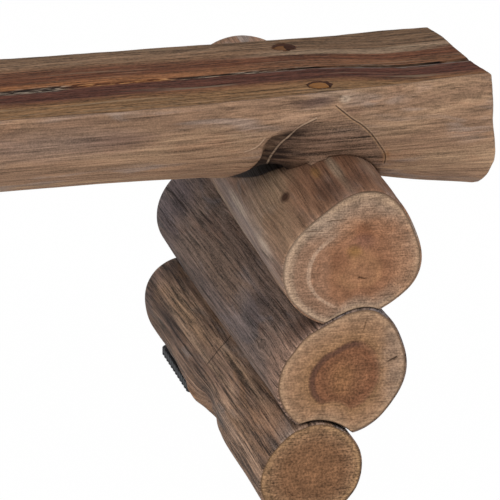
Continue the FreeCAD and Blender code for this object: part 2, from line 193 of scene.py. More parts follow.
@dataclass
class Paint:
    """Values stored on the points of a mesh for its finish to read; vectors have three columns."""

    floats: dict[str, Array] = field(default_factory=dict)
    vectors: dict[str, Array] = field(default_factory=dict)


class Cap(Enum):
    """How the end of a lofted skin is closed."""

    POINT = "the end row has shrunk to one point"
    FLAT = "one flat face over the end row"


def loft_mesh(name: str, rows: Array, cap: Cap, paint: Paint | None = None) -> bpy.types.Mesh:
    """A closed skin through rows of points, each row a closed loop.

    Neighbouring rows are joined by four-sided faces. With Cap.POINT the first and last rows become a fan
    round a single point; with Cap.FLAT each is closed by one face.

    Args:
        name: The mesh's name.
        rows: Points in millimetres, indexed by row, place round the loop, and axis.
        cap: How both ends are closed.
        paint: Values at the same points, indexed by row and place.

    Returns:
        The mesh, in metres, its faces outwards.
    """
    count, loop = rows.shape[:2]
    ids = np.arange(count * loop).reshape(count, loop)
    keep = np.ones(count * loop, bool)
    if cap is Cap.POINT:
        for end in (0, count - 1):
            keep[ids[end, 1:]] = False
            ids[end, 1:] = ids[end, 0]
    new_id = np.cumsum(keep) - 1
    ids = new_id[ids]
    right = np.roll(ids, -1, axis=1)
    quads = np.stack([ids[:-1], ids[1:], right[1:], right[:-1]], axis=-1).reshape(-1, 4)
    faces = quads.tolist()
    if cap is Cap.POINT:
        near = np.stack([ids[0], ids[1], right[1]], axis=-1)
        far = np.stack([ids[-2], ids[-1], right[-2]], axis=-1)
        faces = near.tolist() + quads[loop:-loop].tolist() + far.tolist()
    else:
        faces += [ids[0].tolist(), ids[-1, ::-1].tolist()]
    mesh = bpy.data.meshes.new(name)
    mesh.from_pydata((rows.reshape(-1, 3)[keep] * MM).tolist(), [], faces)
    for key, values in (paint.floats if paint else {}).items():
        layer = mesh.attributes.new(key, "FLOAT", "POINT")
        layer.data.foreach_set("value", np.ascontiguousarray(values.reshape(-1)[keep], dtype=np.float32))
    for key, values in (paint.vectors if paint else {}).items():
        layer = mesh.attributes.new(key, "FLOAT_VECTOR", "POINT")
        flat = np.ascontiguousarray(values.reshape(-1, 3)[keep].reshape(-1), dtype=np.float32)
        layer.data.foreach_set("vector", flat)
    mesh.polygons.foreach_set("use_smooth", np.ones(len(mesh.polygons), bool))
    mesh.update()
    return mesh


def finish_rows(mesh: bpy.types.Mesh, slots: Array) -> None:
    """Gives each face the material slot of its row, from an array with one slot number a face."""
    mesh.polygons.foreach_set("material_index", slots.astype(np.int32))


def place(mesh: bpy.types.Mesh, slot: str, materials: list[bpy.types.Material],
          *nodes: str) -> bpy.types.Object:
    """Shows a finished mesh in place of its CAD nodes.

    Args:
        mesh: The mesh, already in place.
        slot: The record's material slot; not used.
        materials: Its materials, in slot order.
        nodes: The CAD nodes that it stands for.

    Returns:
        The object, at the origin.
    """
    obj = bpy.data.objects.new(mesh.name, mesh)
    bpy.context.scene.collection.objects.link(obj)
    for material in materials:
        mesh.materials.append(material)
    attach(obj, "root")
    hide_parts(*nodes)
    log.info("%s: %d faces", mesh.name, len(mesh.polygons))
    return obj


# Colour patches: the wood's own stains, and a few of painted shade and painted light


@dataclass(frozen=True)
class ColourPatch:
    """A soft-edged patch of another colour: its middle, its half sizes both ways, its colour and strength.

    On a log's side the middle is an angle in degrees and a place along the log; on a sawn face it is x and z
    from the pith; on the seat's front it is x and z. Most are the wood's own stains; one on the middle log
    is painted shade and two on the top log are painted light, each marked where it is listed.
    """

    middle: Point
    half: Point
    color: str
    strength: float = 0.8


def lay_colour_patches(colour_patches: tuple[ColourPatch, ...], u: Array, v: Array, ragged: Array) -> tuple[Array, Array]:
    """Lays colour patches one over another, each fading as a bell curve with a ragged edge.

    Args:
        colour_patches: The patches, the lowest first.
        u: Places across.
        v: Places along.
        ragged: A random field round 0 that frays the edges.

    Returns:
        The colour on top, as linear red, green and blue, and how much of the wood it covers.
    """
    color = np.zeros((*u.shape, 3))
    cover = np.zeros(u.shape)
    for colour_patch in colour_patches:
        squared = ((u - colour_patch.middle[0]) / colour_patch.half[0]) ** 2 + ((v - colour_patch.middle[1]) / colour_patch.half[1]) ** 2
        share = colour_patch.strength * np.exp(-np.maximum(squared + 0.5 * ragged, 0) ** 1.5)
        color = color + (np.array(linear(colour_patch.color)[:3]) - color) * share[..., None]
        cover = cover + (1 - cover) * share
    return color / np.maximum(cover, 1e-6)[..., None], cover


# Cross logs


@dataclass(frozen=True)
class Knot:
    """A knot on a log's side, or a dip where the rise is below nought.

    Its angle is in degrees from +X towards +Z; its place is along the log.
    """

    angle: float
    along: float
    radius: float
    rise: float


@dataclass(frozen=True)
class Check:
    """A drying crack: its angle in degrees, where it starts and ends, its width and its depth.

    It starts and ends at distances from the pith in an end face, and at places along the log on its side.
    """

    angle: float
    start: float
    end: float
    width: float
    depth: float


@dataclass(frozen=True)
class LogSizes:
    """Sizes of one cross log.

    near and far are the x and z of the axis at POLE_REACH in front of and behind the bench's middle, and the
    radii there stand every 30 degrees from +X towards +Z. pith is the pith's place from the axis, planed_at
    the height of a flat planed underside, and mouth_gap how far the hollow opens at the near face. left_knots
    are only on the same log of the left stack. under_seat and hairline are lines of angles and places: where
    the painted shade of the gap under the seat's front begins, and a hair crack.
    """

    node: str
    near: Point
    far: Point
    near_radii: tuple[float, ...]
    far_radii: tuple[float, ...]
    pith: Point
    seed: int
    planed_at: float = -1.0
    knots: tuple[Knot, ...] = ()
    checks: tuple[Check, ...] = ()
    side_checks: tuple[Check, ...] = ()
    colour_patches: tuple[ColourPatch, ...] = ()
    face_stains: tuple[ColourPatch, ...] = ()
    mouth_gap: float = 0.0
    under_seat: tuple[Point, ...] = ()
    hairline: tuple[Point, ...] = ()
    left_knots: tuple[Knot, ...] = ()

    def mirrored(self, node: str, seed: int) -> "LogSizes":
        """The same log on the left stack, with its own fibre and without the marks of the right one.

        Args:
            node: Its CAD node.
            seed: The seed of its fibre.

        Returns:
            Its sizes.
        """
        flip = [(6 - k) % 12 for k in range(12)]
        return replace(
            self,
            node=node,
            near=(-self.near[0], self.near[1]),
            far=(-self.far[0], self.far[1]),
            near_radii=tuple(self.near_radii[k] for k in flip),
            far_radii=tuple(self.far_radii[k] for k in flip),
            pith=(-self.pith[0], self.pith[1]),
            seed=seed,
            knots=tuple(replace(k, angle=180 - k.angle) for k in self.knots + self.left_knots),
            checks=tuple(replace(c, angle=200 - c.angle) for c in self.checks),
            side_checks=(),
            colour_patches=(),
            face_stains=(),
            hairline=(),
            under_seat=tuple((180 - angle, y) for angle, y in self.under_seat[::-1]),
        )


class NaturalLog:
    """A peeled pole sawn to length, hollowed over the log that it sits on."""

    LOOP = 300
    SIDE_ROWS = 200
    FACE_ROWS = 40
    RIM_ROWS = 5
    SWELLS = 5
    SWELL_LENGTH = 110.0
    SWELL_HEIGHT = 1.6
    RIDGES = 60
    RIDGE_LENGTH = 80.0
    RIDGE_HEIGHT = 0.5
    KNOT_EYE = 0.35
    RIM = 1.7
    RIM_WAVES = 14
    SAW_WAVE = 0.3
    CHECK_SINK = 3.0
    CLEAR = 1000.0

    def __init__(self, sizes: LogSizes, below: "NaturalLog | None" = None) -> None:
        self.sizes = sizes
        self.below = below
        self.mean_radius = float(np.mean(sizes.near_radii))

    def axis(self, y: Array) -> tuple[Array, Array]:
        """The x and z of the axis at y."""
        t = (y + POLE_REACH) / (2 * POLE_REACH)
        near, far = self.sizes.near, self.sizes.far
        return near[0] + (far[0] - near[0]) * t, near[1] + (far[1] - near[1]) * t

    def grown_radius(self, theta: Array, y: Array) -> Array:
        """The pole's radius before any hollow is cut.

        The section changes evenly from the near outline to the far one; on it lie slow swellings, fibre
        ridges some 6 mm wide, knots as bell-shaped humps with a lower eye, dips, and side checks as narrow
        furrows.

        Args:
            theta: Angles round the axis.
            y: Places along the log.

        Returns:
            The radius.
        """
        s = self.sizes
        t = (y + POLE_REACH) / (2 * POLE_REACH)
        radius = around(theta, s.near_radii) * (1 - t) + around(theta, s.far_radii) * t
        turn = theta / (2 * math.pi)
        to_end = LOG_LENGTH / 2 - np.abs(y)
        swell = rough(turn * self.SWELLS, y / self.SWELL_LENGTH, s.seed, self.SWELLS, 2)
        radius = radius + self.SWELL_HEIGHT * smooth_step(to_end, 0, 70) * swell
        ridges = rough(turn * self.RIDGES, y / self.RIDGE_LENGTH, s.seed + 9, self.RIDGES, 1)
        radius = radius + self.RIDGE_HEIGHT * smooth_step(to_end, 0, 30) * ridges
        for knot in s.knots:
            across = self.mean_radius * self.angle_from(theta, knot.angle)
            distance = np.hypot(across, y - knot.along) / knot.radius
            eye = 1 - self.KNOT_EYE * np.exp(-((distance / self.KNOT_EYE) ** 2))
            radius = radius + knot.rise * np.exp(-(distance**2)) * eye
        for check in s.side_checks:
            radius = radius - check.depth * self.furrow(theta, y, check)
        return radius

    @staticmethod
    def angle_from(theta: Array, degrees: float) -> Array:
        """The signed angle from a direction, in radians."""
        return (theta - math.radians(degrees) + math.pi) % (2 * math.pi) - math.pi

    def furrow(self, theta: Array, y: Array, check: Check) -> Array:
        """1 in the middle of a side check and 0 outside it; it wanders a little and closes at both ends.

        Args:
            theta: Angles round the axis.
            y: Places along the log.
            check: The side check.

        Returns:
            How much of the crack each point has.
        """
        wander = 1.2 * rough(y / 23, y * 0 + check.start, self.sizes.seed + 3, 0, 2)
        across = self.mean_radius * self.angle_from(theta, check.angle) - wander
        middle = (check.start + check.end) / 2
        open_part = np.clip(1 - ((y - middle) / ((check.end - check.start) / 2)) ** 2, 0, 1)
        width = check.width * np.sqrt(open_part) + 1e-6
        return np.exp(-((across / width) ** 2)) * (open_part > 0)

    def inside(self, x: Array, y: Array, z: Array, gap: float) -> Array:
        """Whether points are within the pole grown by a gap."""
        axis_x, axis_z = self.axis(y)
        theta = np.arctan2(z - axis_z, x - axis_x)
        return np.hypot(x - axis_x, z - axis_z) < self.grown_radius(theta, y) + gap

    def top_at(self, x: Array, y: Array) -> Array:
        """The height of the pole's upper surface over points, and far below the floor beside it.

        Args:
            x: Places along the bench.
            y: Places across it.

        Returns:
            The height.
        """
        axis_x, axis_z = self.axis(y)
        across = x - axis_x
        height = np.full(np.shape(across), self.mean_radius)
        for _ in range(6):
            radius = self.grown_radius(np.arctan2(height, across), y) + FIT_GAP
            height = np.sqrt(np.maximum(radius**2 - across**2, 0.0))
        return np.where(np.abs(across) < radius, axis_z + height, -self.CLEAR)

    def surface(self, theta: Array, y: Array) -> Array:
        """The radius of the finished log: the pole's, or less where it is planed or hollowed.

        A hollow is found by halving, along each ray from the axis, the stretch between a point clear of
        the log below and the pole's own surface.

        Args:
            theta: Angles round the axis.
            y: Places along the log.

        Returns:
            The radius.
        """
        radius = self.grown_radius(theta, y)
        axis_x, axis_z = self.axis(y)
        if self.sizes.planed_at >= 0:
            down = np.maximum(-np.sin(theta), 1e-6)
            to_plane = np.where(np.sin(theta) < 0, (axis_z - self.sizes.planed_at) / down, self.CLEAR)
            radius = np.minimum(radius, to_plane)
        if self.below is None:
            return radius
        cos, sin = np.cos(theta), np.sin(theta)
        gap = FIT_GAP + self.sizes.mouth_gap * smooth_step(-y, LOG_LENGTH / 2 - 60, LOG_LENGTH / 2)
        low = radius * 0.3
        high = radius.copy()
        for _ in range(16):
            middle = (low + high) / 2
            hit = self.below.inside(axis_x + middle * cos, y, axis_z + middle * sin, gap)
            low = np.where(hit, low, middle)
            high = np.where(hit, middle, high)
        reached = self.below.inside(axis_x + radius * cos, y, axis_z + radius * sin, gap)
        return np.where(reached, low, radius)

    def grain(self, theta: Array, y: Array) -> Array:
        """Where each point lies in the straight wood, so that fibres can be drawn along it.

        Fibres run round a knot as water round a post: the distance across is shortened by the square of
        the knot's radius over the square of the distance from it.

        Args:
            theta: Angles round the axis.
            y: Places along the log.

        Returns:
            Points in the wood, in millimetres.
        """
        s = self.sizes
        across = theta * 1.0
        for knot in (knot for knot in s.knots if knot.rise > 0 and knot.radius < 20):
            beside = self.mean_radius * self.angle_from(theta, knot.angle)
            squared = beside**2 + (0.6 * (y - knot.along)) ** 2 + (0.7 * knot.radius) ** 2
            across = across - beside * (0.7 * knot.radius) ** 2 / squared / self.mean_radius
        across = across + 0.05 * rough(theta / (2 * math.pi) * 3, y / 160, s.seed + 17, 3, 2)
        return np.stack([self.mean_radius * np.cos(across), y, self.mean_radius * np.sin(across)], axis=-1)

    def patched(self, theta: Array, y: Array) -> tuple[Array, Array]:
        """The colour patches on the side, from arc lengths measured from the left.
        Most are stains; a few are painted shade and painted light.

        Args:
            theta: Angles round the axis.
            y: Places along the log.

        Returns:
            The patches' colour, and how much of the wood they cover.
        """
        arc = self.mean_radius * self.angle_from(theta, 180) + 0 * y
        colour_patches = tuple(
            replace(colour_patch, middle=(self.mean_radius * math.radians(colour_patch.middle[0] - 180), colour_patch.middle[1]))
            for colour_patch in self.sizes.colour_patches
        )
        return lay_colour_patches(colour_patches, arc, y + 0 * arc, rough(arc / 9, y / 60, self.sizes.seed + 51, 0, 3))

    def hairline_distance(self, theta: Array, y: Array) -> Array:
        """Distance along the log from a hair crack that runs across the fibres, and far from its ends.

        Args:
            theta: Angles round the axis.
            y: Places along the log.

        Returns:
            The distance.
        """
        line = self.sizes.hairline
        if not line:
            return 0 * theta * y + self.CLEAR
        degrees = np.degrees(theta + 0 * y) % 360
        wander = 1.2 * rough(degrees / 7, y * 0, self.sizes.seed, 0, 2)
        away = y - smooth_through(degrees, *zip(*line)) + wander
        return np.where((degrees > line[0][0]) & (degrees < line[-1][0]), away, self.CLEAR)

    def seat_shade(self, theta: Array, y: Array) -> Array:
        """Painted shade: 1 where the log lies in the dark gap behind the seat's front, past a line of angles
        and places.

        Args:
            theta: Angles round the axis.
            y: Places along the log.

        Returns:
            How deep in the painted shade each point lies, from 0 to 1.
        """
        line = self.sizes.under_seat
        if not line:
            return 0 * theta * y
        degrees = np.degrees(theta + 0 * y) % 360
        places = smooth_through(degrees, *zip(*line))
        within = (degrees > line[0][0]) & (degrees < line[-1][0])
        return smooth_step(y - places, 0, 5) * (1 - smooth_step(y, 20, 60)) * within

    def face_marks(self, x: Array, z: Array) -> Array:
        """1 on the lines of the end checks and 0 away from them, over x and z measured from the pith.

        Args:
            x: Places across the face.
            z: Heights.

        Returns:
            How much of a crack each point has.
        """
        marks = np.zeros(np.shape(x))
        for check in self.sizes.checks:
            a = math.radians(check.angle)
            along = x * math.cos(a) + z * math.sin(a)
            beside = -x * math.sin(a) + z * math.cos(a)
            beside = beside - 1.3 * rough(along / 9, along * 0 + check.angle, self.sizes.seed, 0, 2)
            part = np.clip((along - check.start) / (check.end - check.start), 0, 1)
            within = (along > check.start) & (along < check.end)
            width = check.width * (0.35 + 0.65 * part)
            marks = np.maximum(marks, np.exp(-((beside / width) ** 2)) * within * min(1.0, check.depth / 4))
        return marks

    def sawn_face(self, rim: Array, share: Array, sign: float) -> tuple[Array, Array, Array]:
        """Rows of points over a sawn face, which waves a little and sinks by 3 mm in its checks.

        Args:
            rim: The points of the rim.
            share: How far each row lies from the pith to the rim, from 0 to 1.
            sign: -1 for the near face and 1 for the far one, whose checks are fainter.

        Returns:
            The points, their places from the pith, and 1 on the lines of the checks.
        """
        s = self.sizes
        end_y = sign * LOG_LENGTH / 2
        centre_x, centre_z = self.axis(np.array(end_y))
        centre = np.array([centre_x + s.pith[0], end_y, centre_z + s.pith[1]])
        points = centre + share[..., None] * (rim[None] - centre)
        local = points - centre
        marks = self.face_marks(local[..., 0], local[..., 2]) * (1.0 if sign < 0 else 0.6)
        wave = self.SAW_WAVE * rough(local[..., 2] / 14, local[..., 0] / 60, s.seed + 41, 0, 2)
        sunk = wave * smooth_step(1 - share, 0, 0.1) + self.CHECK_SINK * marks
        points[..., 1] = end_y + (rim[None, :, 1] - end_y) * share**6 - sign * sunk
        return points, local, marks

    def build(self, side: bpy.types.Material, end: bpy.types.Material) -> bpy.types.Object:
        """Lays rows of points along the log and over both sawn faces, and skins them.

        Each face is rows that shrink from the rim to the pith; the rim is rounded by a quarter circle of
        1 to 3 mm, and the face waves by under a millimetre where the saw wandered.

        Args:
            side: The finish of the side.
            end: The finish of the sawn faces.

        Returns:
            The log.
        """
        s = self.sizes
        theta = np.linspace(0, 2 * math.pi, self.LOOP, endpoint=False)[None, :]
        half = LOG_LENGTH / 2
        turn = theta / (2 * math.pi)
        waves = turn * self.RIM_WAVES
        near_rim, far_rim = (
            self.RIM + rough(waves, turn * 0 + row, s.seed + 31, self.RIM_WAVES, 2) for row in (0, 7)
        )
        bend = np.linspace(0, math.pi / 2, self.RIM_ROWS + 1)[:-1][:, None]

        side_y = np.linspace(-half + 6, half - 6, self.SIDE_ROWS)[:, None] + 0 * theta
        near_y = -half + near_rim * (1 - np.cos(bend))
        far_y = half - far_rim * (1 - np.cos(bend[::-1]))
        y = np.concatenate([near_y, side_y, far_y])
        theta_all = theta + 0 * y
        trim = np.concatenate([near_rim * (1 - np.sin(bend)), 0 * side_y, far_rim * (1 - np.sin(bend[::-1]))])
        radius = self.surface(theta_all, y)
        hollowed = smooth_step(self.grown_radius(theta_all, y) - radius, 0.0, 2.0)
        radius = radius - trim * (1 - hollowed)
        axis_x, axis_z = self.axis(y)
        skin_x = axis_x + radius * np.cos(theta_all)
        skin_z = axis_z + radius * np.sin(theta_all)
        skin = np.stack([skin_x, y, skin_z], axis=-1)
        skin_grain = self.grain(theta_all, y)
        skin_dark = sum((self.furrow(theta_all, y, c) * min(1.0, c.depth / 2) for c in s.side_checks), 0 * y)
        # Painted shade in the hollow where the log sits on the one below.
        skin_dark = np.maximum(skin_dark, 0.8 * hollowed)
        # Painted shade in the gap under the seat's front.
        skin_dark = np.maximum(skin_dark, 0.95 * self.seat_shade(theta_all, y))
        patch_color, patch_cover = self.patched(theta_all, y)
        hairline = self.hairline_distance(theta_all, y)

        share = np.linspace(0, 1, self.FACE_ROWS, endpoint=False)[:, None]
        near, near_local, near_marks = self.sawn_face(skin[0], share, -1.0)
        far, far_local, far_marks = self.sawn_face(skin[-1], share, 1.0)
        ring = share + 0 * theta
        no_color = np.zeros((*ring.shape, 3))
        near_x, near_z = near_local[..., 0], near_local[..., 2]
        frayed = rough(near_x / 16, near_z / 9, s.seed + 61, 0, 3)
        face_color, face_cover = lay_colour_patches(s.face_stains, near_x, near_z, frayed)
        rows = np.concatenate([near, skin, far[::-1]])
        paint = Paint(
            floats={
                "dark": np.concatenate([near_marks, skin_dark, far_marks[::-1]]),
                "ring": np.concatenate([ring, 0 * y + 1, ring[::-1]]),
                "patch_cover": np.concatenate([face_cover, patch_cover, 0 * ring]),
                "hairline": np.concatenate([0 * ring + 1, hairline * MM, 0 * ring + 1]),
            },
            vectors={
                "grain": np.concatenate([near_local, skin_grain, far_local[::-1]]) * MM,
                "colour_patch": np.concatenate([face_color, patch_color, no_color]),
            },
        )
        mesh = loft_mesh(s.node, rows, Cap.POINT, paint)
        strip = np.concatenate([np.ones(self.FACE_ROWS), np.zeros(len(y) - 1), np.ones(self.FACE_ROWS)])
        finish_rows(mesh, np.repeat(strip, self.LOOP))
        return place(mesh, "log_wood", [side, end], s.node)


# The three logs of the right stack, from the bottom up
BOTTOM_LOG = LogSizes(
    node="right_bottom_log",
    near=(686.0, 58.0),
    far=(675.0, 58.0),
    near_radii=(52.5, 53.5, 53.5, 54, 52.5, 53, 59, 64, 61, 54, 52, 52),
    far_radii=(52, 53, 54, 58, 59, 56, 50.5, 49.5, 50.5, 52, 52, 52),
    pith=(2.0, -2.0),
    seed=3,
    planed_at=PAD_THICKNESS,
    knots=(
        Knot(206, 46, 18, 5.0),
        Knot(200, -34, 32, -8.5),
        Knot(204, -3, 15, -6.0),
        Knot(203, 175, 60, -3.5),
    ),
    side_checks=(Check(160, -60, 90, 0.8, 1.2), Check(120, 20, 200, 0.9, 1.4)),
    colour_patches=(
        ColourPatch((157, 160), (15, 80), "4c3c35", 0.85),
        ColourPatch((133, 120), (8, 110), "96795f", 0.75),
        ColourPatch((150, -40), (8, 60), "5c463b", 0.7),
        ColourPatch((135, -215), (26, 50), "8d6c54", 0.6),
        ColourPatch((150, 250), (40, 22), "584742", 0.7),
        ColourPatch((203, 44), (7, 16), "75502f", 0.6),
        ColourPatch((146, 40), (4, 150), "ab8f76", 0.5),
        ColourPatch((122, -60), (5, 110), "a98b70", 0.5),
        ColourPatch((175, -110), (5, 100), "a38a78", 0.5),
        ColourPatch((110, 140), (4, 80), "3a2a22", 0.6),
    ),
    hairline=((106, 9), (117, -1), (133, -7), (151, -3)),
)
MIDDLE_LOG = LogSizes(
    node="right_middle_log",
    near=(717.0, 166.7),
    far=(705.0, 170.0),
    near_radii=(69.5, 71, 75.5, 64.5, 58, 62, 70.5, 75.5, 73, 71.5, 69, 66.5),
    far_radii=(66, 66, 66, 65.5, 65, 65, 66, 64, 63, 66, 66, 66),
    pith=(5.0, -10.0),
    seed=8,
    knots=(Knot(174, -187, 9, 1.0), Knot(105, 75, 24, 8.5), Knot(105, -75, 24, 5.5)),
    checks=(Check(22, 44, 57, 1.1, 6), Check(74, 46, 70, 0.5, 2)),
    face_stains=(ColourPatch((50, 14), (14, 44), "857264", 0.55), ColourPatch((-6, 2), (13, 20), "87603f", 0.5)),
    side_checks=(Check(146.5, 160, 264, 1.3, 2.4), Check(110, -200, -40, 0.7, 1.0)),
    colour_patches=(
        ColourPatch((155, 225), (50, 60), "55494a", 0.85),
        ColourPatch((158, 0), (26, 100), "766051", 0.7),
        ColourPatch((155, -135), (20, 34), "463c3b", 0.8),
        ColourPatch((185, -60), (14, 160), "6b5c58", 0.6),
        ColourPatch((165, -262), (70, 44), "8f7261", 0.85),
        # Painted shadow of the top log's near face, on the middle log's upper side.
        ColourPatch((122, -238), (34, 26), "4a382f", 0.8),
    ),
    mouth_gap=3.0,
)
TOP_LOG = LogSizes(
    node="right_top_log",
    near=(726.0, 286.3),
    far=(742.0, 304.5),
    near_radii=(73, 72.5, 80, 75.5, 66.5, 70, 77.5, 77.5, 73.5, 67, 61.5, 68),
    far_radii=(75, 75, 76, 78.5, 79, 77, 77.5, 79.5, 78, 75, 75, 75),
    pith=(8.0, -18.0),
    seed=14,
    knots=(Knot(140, -181, 9, 1.2),),
    left_knots=(Knot(97, -156, 34, 6.0), Knot(102, -6, 44, 20.0)),
    checks=(Check(165, -5, 4, 1.1, 3),),
    side_checks=(Check(205, -240, 60, 0.8, 1.2),),
    colour_patches=(
        ColourPatch((96, -200), (62, 130), "6e4d3a", 0.85),
        ColourPatch((158, -190), (26, 120), "876f59", 0.65),
        ColourPatch((190, -90), (20, 190), "867770", 0.8),
        ColourPatch((204, -10), (8, 130), "948273", 0.7),
        ColourPatch((181, -70), (5, 45), "a89787", 0.75),
        ColourPatch((183, -185), (6, 34), "a89787", 0.7),
        ColourPatch((64, -165), (7, 60), "8f7a68", 0.4),
        ColourPatch((92, -195), (4.5, 55), "98836e", 0.8),
        ColourPatch((106, -180), (5, 14), "7d5c35", 0.6),
        # Painted light: the next two patches lighten the top where the seat's shadow falls on it.
        ColourPatch((152, -135), (34, 40), "957c64", 0.8),
        ColourPatch((163, -115), (18, 50), "8f735f", 0.6),
        ColourPatch((86, -230), (30, 22), "573a2b", 0.5),
        ColourPatch((107, -228), (12, 26), "50382b", 0.7),
        ColourPatch((140, -181), (6, 9), "3a251b", 0.95),
    ),
    face_stains=(
        ColourPatch((46, 6), (16, 40), "90674b", 0.6),
        ColourPatch((-43, 4), (9, 38), "8e6c56", 0.6),
        ColourPatch((-44, 62), (28, 16), "9a8573", 0.6),
        ColourPatch((-10, 55), (22, 11), "936a4e", 0.55),
        ColourPatch((28, 50), (24, 14), "8f6245", 0.7),
        ColourPatch((2, 50), (10, 9), "7c523a", 0.75),
        ColourPatch((-22, 18), (9, 12), "7d543d", 0.6),
        ColourPatch((2, 38), (14, 8), "80594a", 0.55),
        ColourPatch((-8, 30), (8, 6), "96703c", 0.5),
    ),
    mouth_gap=0.5,
    under_seat=(
        (96, -148), (105, -143), (116, -135), (125, -129), (137, -115), (147, -101), (155, -81), (164, -51),
        (176, -2),
    ),
)


# Seat


@dataclass(frozen=True)
class SeatSizes:
    """Sizes of the half-log seat.

    At each of places along the bench stand the pole's axis across it, its sink, which is the depth of the
    axis below the sawn top, and its radius. crack_places and crack_y are the line of the pith crack, which
    is open from open_from to the right end. relief_place, relief_radius and relief_centre_z are the round
    cut of the axe beside each stack. The lip is the edge left of the hollow on the front, and the arch the
    outline of the facet over the stack, each as a place at each height. left_scribe, right_scribe and
    lip_mark are lines on the front, in x and z, and knot_eye and knot_crack two marks there. screw_place and
    screw_height are where the front must cover a seat screw's shank, out to screw_cover_y, over
    screw_cover_half both ways and where it is within screw_cover_depth of that. pith_depth is how far the
    pith lies below the top in both ends, end_places_y and end_bulge shape the right end, and fine_from is
    where the rows of points close up.
    """

    node: str = "seat_log"
    places: tuple[float, ...] = (-900.0, -300.0, 400.0, 560.0, 760.0, 840.0, 930.0)
    axis_y: tuple[float, ...] = (-90.0, -89.0, -87.5, -86.0, -78.0, -70.0, -61.0)
    sinks: tuple[float, ...] = (-6.5, -5.5, -5.4, -2.0, 17.0, 32.2, 49.0)
    radii: tuple[float, ...] = (110.0, 111.0, 111.0, 110.0, 103.8, 103.6, 103.8)
    crack_places: tuple[float, ...] = (-900, -500, -100, 391, 519, 614, 668, 728, 759, 820, 853, 900)
    crack_y: tuple[float, ...] = (-96, -88, -104, -100, -94, -94.5, -92, -90, -94, -108, -106, -101)
    open_from: float = 690.0
    first_width: float = 4.2
    open_width: float = 8.4
    first_depth: float = 9.0
    open_depth: float = 38.0
    arris: float = 5.0
    relief_place: float = 670.0
    relief_radius: float = 20.0
    relief_centre_z: float = 341.0
    lip_heights: tuple[float, ...] = (330, 345, 352, 363, 373, 389, 400, 406)
    lip_places: tuple[float, ...] = (618, 630, 640, 648, 652, 653, 657, 664)
    hollow_depth: float = 13.0
    arch_heights: tuple[float, ...] = (345, 357, 366, 380, 395, 408, 415, 425, 434)
    arch_right: tuple[float, ...] = (792, 792, 789, 780, 769, 757, 746, 734, 727)
    arch_left: tuple[float, ...] = (662, 664, 666, 668, 677, 689, 702, 717, 728)
    left_scribe: tuple[Point, ...] = (
        (665, 362), (667, 375), (673, 390), (682, 401), (690, 411), (699, 416), (708, 420),
    )
    right_scribe: tuple[Point, ...] = (
        (728, 432), (747, 415), (758, 407), (770, 395), (781, 380), (790, 366), (793, 352),
    )
    lip_mark: tuple[Point, ...] = ((633, 386), (641, 389), (647, 393), (653, 401))
    knot_eye: Point = (739.5, 437.5)
    knot_crack: Point = (733.0, 441.0)
    screw_place: float = 718.0
    screw_height: float = 367.0
    screw_cover_y: float = -161.6
    screw_cover_half: Point = (10.0, 9.0)
    screw_cover_depth: float = 11.6
    pith_depth: float = 58.0
    plug_radius: float = 12.6
    plug_place: float = 720.0
    plug_rows_y: tuple[float, float] = (-154.0, -9.0)
    plug_depth: float = 20.0
    end_places_y: tuple[float, ...] = (-205, -187, -154, -122, -88, -55, -6, 24, 40)
    end_bulge: tuple[float, ...] = (7, 7.5, 6.5, 3, 1.5, 0.5, 0, -4, -6)
    fine_from: float = 350.0
    colour_patches: tuple[ColourPatch, ...] = (
        ColourPatch((430, 414), (90, 16), "8a7468", 0.5),
        ColourPatch((497, 414), (32, 8), "6b5246", 0.55),
        ColourPatch((706, 437), (26, 6), "4e3a33", 0.8),
        ColourPatch((739, 438), (5.5, 4.5), "ae9884", 0.85),
        ColourPatch((790, 362), (4.5, 9), "8f5c2c", 0.8),
        ColourPatch((745, 422), (18, 6), "6d5244", 0.6),
        ColourPatch((692, 408), (18, 6), "8a705f", 0.6),
        ColourPatch((690, 422), (40, 9), "a3826a", 0.5),
        ColourPatch((765, 418), (10, 6), "a88970", 0.5),
        ColourPatch((720, 396), (60, 18), "6a5348", 0.5),
        ColourPatch((705, 393), (24, 3), "4a332b", 0.6),
        ColourPatch((760, 396), (16, 3.5), "54423b", 0.6),
        ColourPatch((745, 402), (18, 2), "9c8a7c", 0.5),
    )


